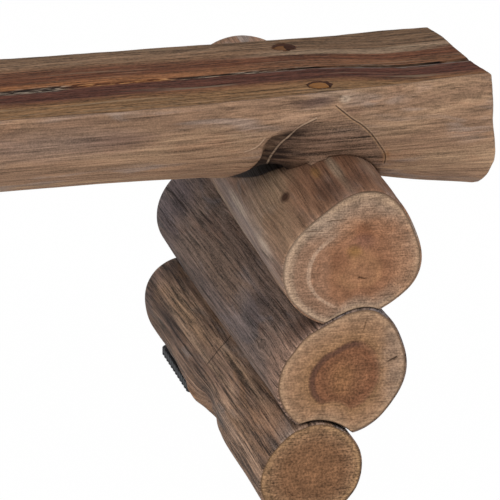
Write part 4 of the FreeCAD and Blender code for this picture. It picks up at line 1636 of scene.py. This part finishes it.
@dataclass(frozen=True)
class SideWood:
    """Peeled, weathered log wood: hues in soft patches, and fibres as fine light and dark lines along them.

    The fibres are drawn some 2 to 5 mm apart, coarser than real ones, so that they show. contrast is how
    strong they are, streaks the share of the long ones and cracks how dark the thin cracks between them.
    """

    name: str
    deep: str
    middle: str
    pale: str
    grey: str
    warm: str
    contrast: float = 0.5
    cracks: float = 0.7
    streaks: float = 0.2
    seed: float = 0.0
    along_x: bool = False

    def build(self) -> bpy.types.Material:
        """Fibres follow the grain stored on the mesh, y along a cross log and x along the seat."""
        sh = Shader(bpy.data.materials.new(self.name))
        stored = sh.add("Attribute", attribute_name="grain", out="Vector")
        grain = sh.add("VectorMath", (stored, (self.seed,) * 3), operation="ADD")

        def along(cross: float, length: float) -> tuple[float, float, float]:
            """The size of a grain that is long along the fibres."""
            return (length, cross, cross) if self.along_x else (cross, length, cross)

        hue = sh.pattern(grain, along(42, 200), 3, 0.6)
        color = sh.add("ValToRGB", (hue,), stops=((0.34, self.deep), (0.5, self.middle), (0.66, self.pale)))
        greyed = sh.add("MapRange", (sh.pattern(grain, along(34, 130), 2, 0.8), 0.52, 0.66, 0, 0.8))
        warmed = sh.add("MapRange", (sh.pattern(grain, along(22, 90), 3, 0.8), 0.54, 0.68, 0, 0.6))
        patched = sh.add("Attribute", attribute_name="patch_cover")
        colour_patch = sh.add("Attribute", attribute_name="colour_patch", out="Vector")
        color = sh.overlay(color, (greyed, self.grey), (warmed, self.warm), (patched, colour_patch))

        streak = sh.pattern(grain, along(4.5, 130), 3, 0.4, 0.18)
        ridge = sh.pattern(grain, along(1.8, 75), 2, 0.3, 0.17)
        fleck = sh.pattern(grain, along(1.4, 16), 2, 0.3, 0.19)
        speck = sh.pattern(grain, (1.7, 1.7, 1.7), 1, 0.0, 0.16)
        fibre = sh.weigh((streak, self.streaks), (ridge, 0.3), (fleck, 0.32 - self.streaks / 2),
                         (speck, 0.38 - self.streaks / 2))
        depth = self.contrast
        if self.along_x:
            facet = sh.product(sh.add("Attribute", attribute_name="arch"), 0.75)
            color = sh.overlay(color, (facet, "6a5344"))
            depth = sh.add("Math", (facet, self.contrast), operation="ADD")
        beyond = sh.add("Math", (fibre, 0.5), operation="SUBTRACT")
        level = sh.add("Math", (beyond, sh.product(depth, 2.0), 1.0), operation="MULTIPLY_ADD")
        level = sh.add("Math", (level, 0.2), operation="MAXIMUM")
        color = sh.add("VectorMath", {0: color, "Scale": level}, operation="SCALE")
        if self.along_x:
            # Painted light: the seat's front grows paler towards its underside, as if lit from the floor.
            height = sh.add("SeparateXYZ", (stored,), out="Z")
            floor_bounce_light = sh.add("MapRange", (height, -110 * MM, -10 * MM, 1.26, 1.04))
            color = sh.add("VectorMath", {0: color, "Scale": floor_bounce_light}, operation="SCALE")
        lines = sh.add("MapRange", (sh.pattern(grain, along(2.6, 90)), 0.38, 0.31, 0, self.cracks))
        # The stored dark: checks and the knot's marks, and painted shade in the hollows, the axe cuts and the
        # gap under the seat.
        dark = sh.add("Attribute", attribute_name="dark")
        color = sh.overlay(color, (lines, "2a1c15"), (dark, "1c0f0a"))
        color = sh.overlay(color, *(self.scribed_lines(sh, fleck) if self.along_x else self.hair_crack(sh)))
        return sh.close(color, 0.8, sh.relief((streak, 0.5), (ridge, 0.25), (fleck, 0.15)), specular=0.18)

    @staticmethod
    def hair_crack(sh: Shader) -> list[tuple[Socket, str]]:
        """The layer of the hair crack across a cross log's fibres."""
        away = sh.add("Attribute", attribute_name="hairline")
        return [(sh.product(sh.near(away, 0.0, 1.6 * MM), 0.85), "2a1b14")]

    @staticmethod
    def scribed_lines(sh: Shader, fleck: Socket) -> list[tuple[Socket, str]]:
        """The layers of the lines on the seat's front, drawn only in paint and worn by flecks: each scribed
        line is a real mark, drawn as a dark line of painted shade in its groove beside pale lines that are
        partly its own colour and partly painted highlight on its lips, and the lip mark is a pale mark with
        painted highlight along the lip's edge and a faint line of painted shade beside it.

        A line is drawn at an offset from the stored distance, both in millimetres, with half a width, a
        colour and a strength.

        Args:
            sh: The seat's finish.
            fleck: The pattern that wears them.

        Returns:
            Each line's share and its colour.
        """
        worn = sh.add("MapRange", (fleck, 0.15, 0.5, 0.35, 1))
        layers = []
        for name, offset, half, code, strength in (
            # Dark entries are painted shade in a groove; pale entries are the mark's own colour with painted
            # highlight.
            ("scribe_left", -1.7, 1.3, "2a1b14", 0.7),
            ("scribe_left", 0.0, 1.4, "b89d84", 0.65),
            ("scribe_left", 1.8, 1.0, "33231a", 0.35),
            ("scribe_right", 0.0, 1.1, "2a1b14", 0.8),
            ("scribe_right", 1.4, 1.0, "b8987a", 0.45),
            ("scribe_right", -1.5, 1.1, "b4906c", 0.5),
            ("lip_mark", 0.0, 1.0, "cfb197", 0.5),
            ("lip_mark", -1.6, 1.2, "4a3327", 0.3),
        ):
            line = sh.near(sh.add("Attribute", attribute_name=name), offset * MM, half * MM)
            layers.append((sh.product(line, strength, worn), code))
        return layers


@dataclass(frozen=True)
class EndGrain:
    """Sawn end grain: a colour for each share of the way from the pith to the rim, and fine saw lines.

    An arc is a darker ring, drawn only towards one side, where the heartwood ends sharply; pale_share is the
    place of a paler ring towards the left. depth and rim_depth are how strong the saw lines and pores are,
    swing how far the rings wander and pore the size of the pores in millimetres. The seat's end is turned:
    its rings lie round a pith below the top.
    """

    name: str
    bands: Stops
    arc_share: float = 0.0
    arc_side: Point = (0.0, 1.0)
    arc_color: str = "4d342b"
    pale_share: float = 0.0
    depth: float = 0.8
    rim_depth: float = 0.3
    swing: float = 0.3
    pore: float = 2.0
    turned: bool = False
    pith_depth: float = 30.0
    turned_reach: float = 130.0

    def build(self) -> bpy.types.Material:
        """Rings follow the share stored on the mesh; saw lines lie level across the face."""
        sh = Shader(bpy.data.materials.new(self.name))
        face = sh.add("Attribute", attribute_name="grain", out="Vector")
        x, y, z = (sh.add("SeparateXYZ", (face,), out=axis) for axis in "XYZ")
        if self.turned:
            up = sh.add("Math", (z, self.pith_depth * MM), operation="ADD")
            radius = sh.add("Math", (sh.weigh((y, y), (up, up)),), operation="SQRT")
            share = sh.product(radius, 1 / (self.turned_reach * MM))
            saw_size, patch_size = (40, 40, 1.2), (18, 18, 12)
        else:
            share = sh.add("Attribute", attribute_name="ring")
            saw_size, patch_size = (20, 20, 1.5), (12, 12, 9)
        warp = sh.pattern(face, (38, 38, 38), 3)
        lean = sh.add("Math", (warp, 0.5), operation="SUBTRACT")
        bent = sh.add("Math", (lean, self.swing, share), operation="MULTIPLY_ADD")
        color = sh.add("ValToRGB", (bent,), stops=self.bands)
        patched = sh.add("Attribute", attribute_name="patch_cover")
        color = sh.overlay(color, (patched, sh.add("Attribute", attribute_name="colour_patch", out="Vector")))
        blotch = sh.add("MapRange", (sh.pattern(face, patch_size, 4, 0.6), 0.32, 0.68, 0.72, 1.26),
                        interpolation_type="LINEAR")
        color = sh.add("VectorMath", {0: color, "Scale": blotch}, operation="SCALE")
        if self.arc_share:
            toward = sh.weigh((x, self.arc_side[0]), (z, self.arc_side[1]))
            arc = sh.near(bent, self.arc_share, 0.07, 0.015 / 0.07)
            drawn = sh.product(arc, sh.add("MapRange", (toward, 2 * MM, 20 * MM)), 0.75)
            color = sh.overlay(color, (drawn, self.arc_color))
        if self.pale_share:
            swung = sh.add("Math", (lean, 0.1, share), operation="MULTIPLY_ADD")
            leftward = sh.product(sh.add("MapRange", (x, -18 * MM, -42 * MM)),
                                  sh.add("MapRange", (z, 62 * MM, 36 * MM)))
            for at, half, code, strength in (
                (self.pale_share, 0.035, "b3967f", 0.6),
                (0.8, 0.1, "82614c", 0.6),
                (1.0, 0.1, "ac917a", 0.8),
            ):
                drawn = sh.product(sh.near(swung, at, half, 0.4), strength, leftward)
                color = sh.overlay(color, (drawn, code))

        turns = sh.product(sh.add("Math", (warp, 0.06, share), operation="MULTIPLY_ADD"), 14.0)
        rings = sh.add("TexNoise", {"W": turns, "Scale": 1.0, "Detail": 3.0}, noise_dimensions="1D")
        rings = sh.add("MapRange", (rings, 0.35, 0.65), interpolation_type="LINEAR")
        saw = sh.pattern(face, saw_size, 2, 0.0, 0.14)
        pores = sh.pattern(face, (self.pore,) * 3, 2, 0.0, 0.12)
        outer = sh.add("MapRange", (share, 0.35, 0.75))
        saw_weight = sh.add("Math", (outer, 0.2, 0.22), operation="MULTIPLY_ADD")
        rough_cut = sh.weigh((saw, saw_weight), (pores, 0.45), (rings, 0.2))
        depth = sh.add("Math", (outer, self.rim_depth, self.depth), operation="MULTIPLY_ADD")
        usual = sh.add("Math", (outer, 0.1, 0.435), operation="MULTIPLY_ADD")
        beyond = sh.add("Math", (rough_cut, usual), operation="SUBTRACT")
        level = sh.add("Math", (beyond, depth, 1.0), operation="MULTIPLY_ADD")
        color = sh.add("VectorMath", {0: color, "Scale": level}, operation="SCALE")
        scores = sh.add("MapRange", (sh.pattern(face, (40, 40, 2)), 0.37, 0.3, 0, 0.6))
        rim = sh.add("MapRange", (share, 0.98, 1.0, 0, 0.45))
        dark = sh.add("Attribute", attribute_name="dark")
        color = sh.overlay(color, (scores, "4a3426"), (rim, "4b3527"), (dark, "20140d"))
        return sh.close(color, 0.85, sh.relief((rough_cut, 0.4)), specular=0.15)


@dataclass(frozen=True)
class SawnTop:
    """The seat's sawn face: bands of brown along the grain beside the torn grey and black pith.

    Each band is a distance from the pith in millimetres, towards the back, and its colour.
    """

    name: str = "sawn_seat_top"
    bands: Stops = (
        (-110, "755940"), (-62, "76583c"), (-46, "6b4a33"), (-36, "4d2e24"), (-6, "4b2c23"), (1, "845839"),
        (16, "825638"), (26, "593625"), (58, "5d3c2b"), (72, "715540"), (88, "765d49"), (118, "644e3c"),
    )

    def build(self) -> bpy.types.Material:
        """Fibres run along the seat, and the bands sway by up to 20 mm, least beside the pith."""
        sh = Shader(bpy.data.materials.new(self.name))
        grain = sh.add("Attribute", attribute_name="grain", out="Vector")
        lengthwise, across = (sh.add("SeparateXYZ", (grain,), out=axis) for axis in "XY")
        sway = sh.add("Math", (sh.pattern(grain, (330, 40, 40), 3), 0.5), operation="SUBTRACT")
        distance = sh.add("Math", (across,), operation="ABSOLUTE")
        swing = sh.add("MapRange", (distance, 0, 30 * MM, 8 * MM, 40 * MM))
        bent = sh.add("Math", (sway, swing, across), operation="MULTIPLY_ADD")
        low, high = self.bands[0][0], self.bands[-1][0]
        place_at = sh.add("MapRange", (bent, low * MM, high * MM), interpolation_type="LINEAR")
        stops = tuple(((at - low) / (high - low), code) for at, code in self.bands)
        color = sh.add("ValToRGB", (place_at,), stops=stops)

        def strip(value: Socket, rise: Point, fall: Point, run: Point, strength: float) -> Socket:
            """The share of a strip along the grain, which starts with x; rise and fall are in millimetres."""
            edges = [sh.add("MapRange", (value, a * MM, b * MM)) for a, b in (rise, fall) if a != b]
            return sh.product(*edges, sh.add("MapRange", (lengthwise, *run, 0, strength)))

        no_edge = (0, 0)
        color = sh.overlay(
            color,
            (strip(across, (0, 3), (34, 22), (0.48, 0.72), 0.75), "5f4231"),
            (strip(bent, (60, 80), no_edge, (0.6, 0.75), 0.8), "5f4937"),
            (strip(bent, (46, 56), (78, 64), (0.62, 0.74), 0.75), "85705c"),
        )
        streak = sh.pattern(grain, (170, 7, 7), 3, 0.3, 0.18)
        ridge = sh.pattern(grain, (70, 3.4, 3.4), 2, 0.3, 0.12)
        fleck = sh.pattern(grain, (12, 3.0, 3.0), 2, 0.3, 0.13)
        speck = sh.pattern(grain, (3.5, 2.6, 2.6), 1, 0.0, 0.16)
        fibre = sh.weigh((sh.weigh((streak, 0.3), (ridge, 0.38), (fleck, 0.32)), 0.82), (speck, 0.18))
        level = sh.add("MapRange", (fibre, 0.1, 0.9, 0.14, 1.95), interpolation_type="LINEAR")
        color = sh.add("VectorMath", {0: color, "Scale": level}, operation="SCALE")
        lines = sh.add("MapRange", (sh.pattern(grain, (150, 5, 5)), 0.36, 0.29, 0, 0.75))
        bleached = sh.add("MapRange", (sh.pattern(grain, (150, 10, 10), 3, 0.4), 0.58, 0.7, 0, 0.45))

        # The torn pith, brown and healed along one stretch, and the open crack
        slivers = sh.pattern(grain, (16, 2.4, 2.4), 3, 0.3, 0.15)
        torn = sh.add("ValToRGB", (slivers,), stops=((0.3, "1a1310"), (0.6, "43362e"), (0.9, "978878")))
        brown = sh.add("ValToRGB", (slivers,), stops=((0.3, "3a1e14"), (0.6, "633a26"), (0.9, "a97a4e")))
        healed = sh.product(sh.add("MapRange", (lengthwise, 0.45, 0.48)),
                            sh.add("MapRange", (lengthwise, 0.6, 0.56)))
        grey_ridge = sh.product(sh.near(across, -6 * MM, 3.2 * MM),
                                sh.add("MapRange", (lengthwise, 0.66, 0.7, 0, 0.7)),
                                sh.add("MapRange", (slivers, 0.2, 0.6)))
        color = sh.overlay(
            color,
            (lines, "24160f"),
            (bleached, "8f7c66"),
            (sh.add("Attribute", attribute_name="dark"), sh.overlay(torn, (healed, brown))),
            (grey_ridge, "6f655e"),
            (sh.add("Attribute", attribute_name="open"), "0c0807"),
        )
        return sh.close(color, 0.8, sh.relief((streak, 0.4), (ridge, 0.4), (fleck, 0.3)), specular=0.06)


def drilled_wood() -> bpy.types.Material:
    """Fresh wood inside a drilled hole, painted dark as painted shade, with fine rings from the drill."""
    sh = Shader(bpy.data.materials.new("drilled_wood"))
    turns = sh.pattern(sh.add("TexCoord", out="Object"), (30, 30, 1.0))
    color = sh.add("ValToRGB", (turns,), stops=((0.3, "2b1710"), (0.7, "4a2c1e")))
    return sh.close(color, 0.8, sh.relief((turns, 0.2)))


def plug_wood() -> bpy.types.Material:
    """Turned softwood plugs, oiled golden brown, with fibres along the seat."""
    sh = Shader(bpy.data.materials.new("turned_plug_wood"))
    fibre = sh.pattern(sh.add("Attribute", attribute_name="grain", out="Vector"), (26, 1.6, 8), 3, 0.2)
    color = sh.add("ValToRGB", (fibre,), stops=((0.3, "5f3b1d"), (0.5, "7c5126"), (0.7, "906335")))
    # Painted shade from the stored dark, on the broken faces and over the back plugs.
    color = sh.overlay(color, (sh.add("Attribute", attribute_name="dark"), "33190f"))
    return sh.close(color, 0.7, sh.relief((fibre, 0.4)), specular=0.1)


def black_rubber() -> bpy.types.Material:
    """Moulded black rubber, dusty and slightly blue."""
    sh = Shader(bpy.data.materials.new("moulded_black_rubber"))
    dust = sh.pattern(sh.add("TexCoord", out="Object"), (9, 9, 9), 3)
    color = sh.add("ValToRGB", (dust,), stops=((0.35, "101114"), (0.7, "24262b")))
    return sh.close(color, 0.6, sh.relief((dust, 0.2)))


def zinc_plate() -> bpy.types.Material:
    """Bright zinc plate on steel screws, washers and nails."""
    sh = Shader(bpy.data.materials.new("zinc_plated_steel"))
    cloud = sh.pattern(sh.add("TexCoord", out="Object"), (3, 3, 3), 3)
    color = sh.add("ValToRGB", (cloud,), stops=((0.3, "9b9da0"), (0.7, "c2c4c6")))
    roughness = sh.add("MapRange", (cloud, 0.3, 0.7, 0.28, 0.42))
    return sh.close(color, roughness, sh.relief((cloud, 0.05)), metallic=1.0)


# Floor, light and camera


@dataclass(frozen=True)
class Softbox:
    """A square studio light: its place and target in metres, its side and its power in watts."""

    name: str
    place: tuple[float, float, float]
    target: tuple[float, float, float]
    side: float
    power: float

    def build(self) -> None:
        """Adds the light, turned to its target."""
        light = bpy.data.lights.new(self.name, "AREA")
        light.shape = "SQUARE"
        light.size = self.side
        light.energy = self.power
        obj = bpy.data.objects.new(self.name, light)
        obj.location = self.place
        aim = np.array(self.target) - np.array(self.place)
        flat = math.hypot(aim[0], aim[1])
        obj.rotation_euler = (math.pi / 2 + math.atan2(aim[2], flat), 0, math.atan2(-aim[0], aim[1]))
        bpy.context.scene.collection.objects.link(obj)


class Studio:
    """A white floor, two soft lights and an even white surround."""

    CAMERA_PLACE = (-0.2267, -3.5228, 1.5019)
    CAMERA_TURN = (math.radians(90 - 19.5), 0.0, math.radians(-14.5))
    LENS = 252.0
    SENSOR = 36.0
    FARTHEST = 100.0
    LIGHTS = (
        Softbox("key", (-1.6, -3.0, 3.2), (0.6, 0.0, 0.3), 2.2, 70.0),
        Softbox("fill", (3.2, -2.6, 1.8), (0.7, 0.0, 0.3), 2.0, 26.0),
    )
    FLOOR_HALF = 14.0
    FLOOR_DROP = 0.3
    PLAIN_SHARE = 0.99
    SURROUND_LEVEL = 0.72

    @staticmethod
    def seen(sh: Shader) -> Socket:
        """1 for rays of the camera and for glossy and transmitted ones, which see plain white, else 0."""
        seen = sh.add("LightPath", out="Is Camera Ray")
        for ray in ("Is Glossy Ray", "Is Transmission Ray"):
            seen = sh.add("Math", (seen, sh.add("LightPath", out=ray)), operation="MAXIMUM")
        return seen

    def floor(self) -> None:
        """A wide plane, white to the camera but for a hundredth of its real shading, and clear from below."""
        mesh = bpy.data.meshes.new("floor")
        half = self.FLOOR_HALF
        down = -self.FLOOR_DROP * MM
        corners = [(-half, -half, down), (half, -half, down), (half, half, down), (-half, half, down)]
        mesh.from_pydata(corners, [], [(0, 1, 2, 3)])
        obj = bpy.data.objects.new("floor", mesh)
        bpy.context.scene.collection.objects.link(obj)
        sh = Shader(bpy.data.materials.new("white_floor"))
        paper = sh.add("BsdfDiffuse", {"Color": "f3f3f3"})
        glow = sh.add("Emission", {"Color": "ffffff", "Strength": 1.0})
        plain = sh.product(self.seen(sh), self.PLAIN_SHARE)
        above = sh.add("MixShader", (plain, paper, glow))
        under = sh.add("NewGeometry", out="Backfacing")
        sided = sh.add("MixShader", (under, above, sh.add("BsdfTransparent")))
        sh.add("OutputMaterial", {"Surface": sided})
        mesh.materials.append(sh.owner)

    def surround(self) -> None:
        """White light from every side, and plain white wherever it is seen."""
        world = bpy.data.worlds.new("white_surround")
        sh = Shader(world)
        level = sh.add("Math", (self.seen(sh), self.SURROUND_LEVEL), operation="MAXIMUM")
        sh.add("OutputWorld", {"Surface": sh.add("Background", {"Color": "ffffff", "Strength": level})})
        bpy.context.scene.world = world

    def camera(self) -> None:
        """The photograph's viewpoint."""
        data = bpy.data.cameras.new("photo_camera")
        data.lens = self.LENS
        data.sensor_width = self.SENSOR
        data.clip_end = self.FARTHEST
        obj = bpy.data.objects.new("photo_camera", data)
        obj.location = self.CAMERA_PLACE
        obj.rotation_euler = self.CAMERA_TURN
        bpy.context.scene.collection.objects.link(obj)
        bpy.context.scene.camera = obj

    def build(self) -> None:
        """Sets up everything round the object."""
        self.floor()
        self.surround()
        for light in self.LIGHTS:
            light.build()
        self.camera()
        bpy.context.scene.view_settings.view_transform = "Standard"


# Side and end finishes of the three logs of a stack, from the bottom up
LOG_SIDES = (
    SideWood("bottom_side", "5c483c", "755e4f", "8f7460", "6c615b", "7d6049", 1.7, 0.7, 0.38),
    SideWood("middle_side", "5b4a41", "6b594f", "7b675b", "69605f", "6d5447", 1.45, 0.85, 0.26),
    SideWood("top_side", "7a5b47", "8c6b55", "9e7f66", "857870", "846750", 0.85, 0.5, 0.3),
)
SEAT_SIDE = SideWood(
    "seat_side", "7a5f4c", "8a6d56", "9a7d63", "8a7669", "96735a", 0.85, 0.28, 0.36, along_x=True
)
LOG_FACES = (
    EndGrain(
        "bottom_end",
        ((0.1, "7f5b40"), (0.6, "77563d"), (0.8, "84644a"), (0.97, "8f7052")),
        depth=1.25,
        pore=2.5,
    ),
    EndGrain(
        "middle_end",
        ((0.1, "7f583e"), (0.46, "764f38"), (0.53, "7d5840"), (0.59, "8c694b"), (0.82, "97755a"),
         (0.97, "9b7d63")),
        arc_share=0.52,
        arc_side=(-0.8, 0.6),
        depth=1.3,
        rim_depth=-0.35,
        swing=0.13,
        pore=2.4,
    ),
    EndGrain(
        "top_end",
        ((0.1, "91684c"), (0.26, "936a4c"), (0.38, "885f45"), (0.54, "8b634a"), (0.68, "8f6f59"),
         (0.86, "947a66"), (0.97, "9a8069")),
        pale_share=0.67,
    ),
)
SEAT_ENDS = EndGrain(
    "seat_end", ((0.1, "7d5a41"), (0.5, "80593f"), (0.62, "947359"), (0.9, "9a7a5e")), turned=True
)


class Stack:
    """Three cross logs, their pads and the plugs over them, on one side of the bench."""

    PAD_INSET = 8.0
    PAD_SHIFT = 0.5

    def __init__(self, side: str) -> None:
        self.side = side
        self.sign = 1 if side == "right" else -1
        logs = (BOTTOM_LOG, MIDDLE_LOG, TOP_LOG)
        if side == "left":
            logs = tuple(s.mirrored(s.node.replace("right", "left"), s.seed + 50) for s in logs)
        self.bottom = NaturalLog(logs[0])
        self.middle = NaturalLog(logs[1], self.bottom)
        self.top = NaturalLog(logs[2], self.middle)

    def build(self) -> None:
        """Builds every piece of the stack."""
        for cross, side_wood, face in zip((self.bottom, self.middle, self.top), LOG_SIDES, LOG_FACES):
            label = cross.sizes.node
            dressed = replace(side_wood, name=f"{label}_side", seed=0.3 * self.sign)
            cross.build(dressed.build(), replace(face, name=f"{label}_end").build())
        rubber = black_rubber()
        plug = plug_wood()
        end, length = LOG_LENGTH / 2 - self.PAD_INSET, PadSizes.length
        for where, low in (("front", -end), ("back", end - length)):
            middle_x = float(self.bottom.axis(np.array(low + length / 2))[0])
            PadSizes(f"{self.side}_{where}_pad", middle_x - self.sign * self.PAD_SHIFT, low).build(rubber)
        plug_x = self.sign * SeatSizes.plug_place
        front_y, back_y = SeatSizes.plug_rows_y
        for sizes in (
            PlugSizes(f"{self.side}_front_plug", plug_x, front_y, 445.6, chip_at=8.0, chip_depth=7.0),
            # The back plug is dimmed by painted shade.
            PlugSizes(f"{self.side}_back_plug", plug_x, back_y, 444.6, chip_at=1.0, chip_depth=9.0,
                      painted_shade=0.45),
        ):
            sizes.build(plug)


def dress_steel() -> None:
    """Gives every screw, washer and nail its plating."""
    finish = zinc_plate()
    for name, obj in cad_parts.items():
        if name.endswith(("screw", "washer", "nails")):
            obj.data.materials.clear()
            obj.data.materials.append(finish)


def main() -> None:
    """Builds the bench and its studio in order."""
    logging.basicConfig(level=logging.INFO, format="%(message)s")
    right = Stack("right")
    left = Stack("left")
    right.build()
    left.build()
    seat = Seat(SeatSizes(), right.top, left.top)
    seat.build(SawnTop().build(), SEAT_SIDE.build(), SEAT_ENDS.build(), drilled_wood())
    dress_steel()
    Studio().build()


if __name__ == "__main__":
    main()
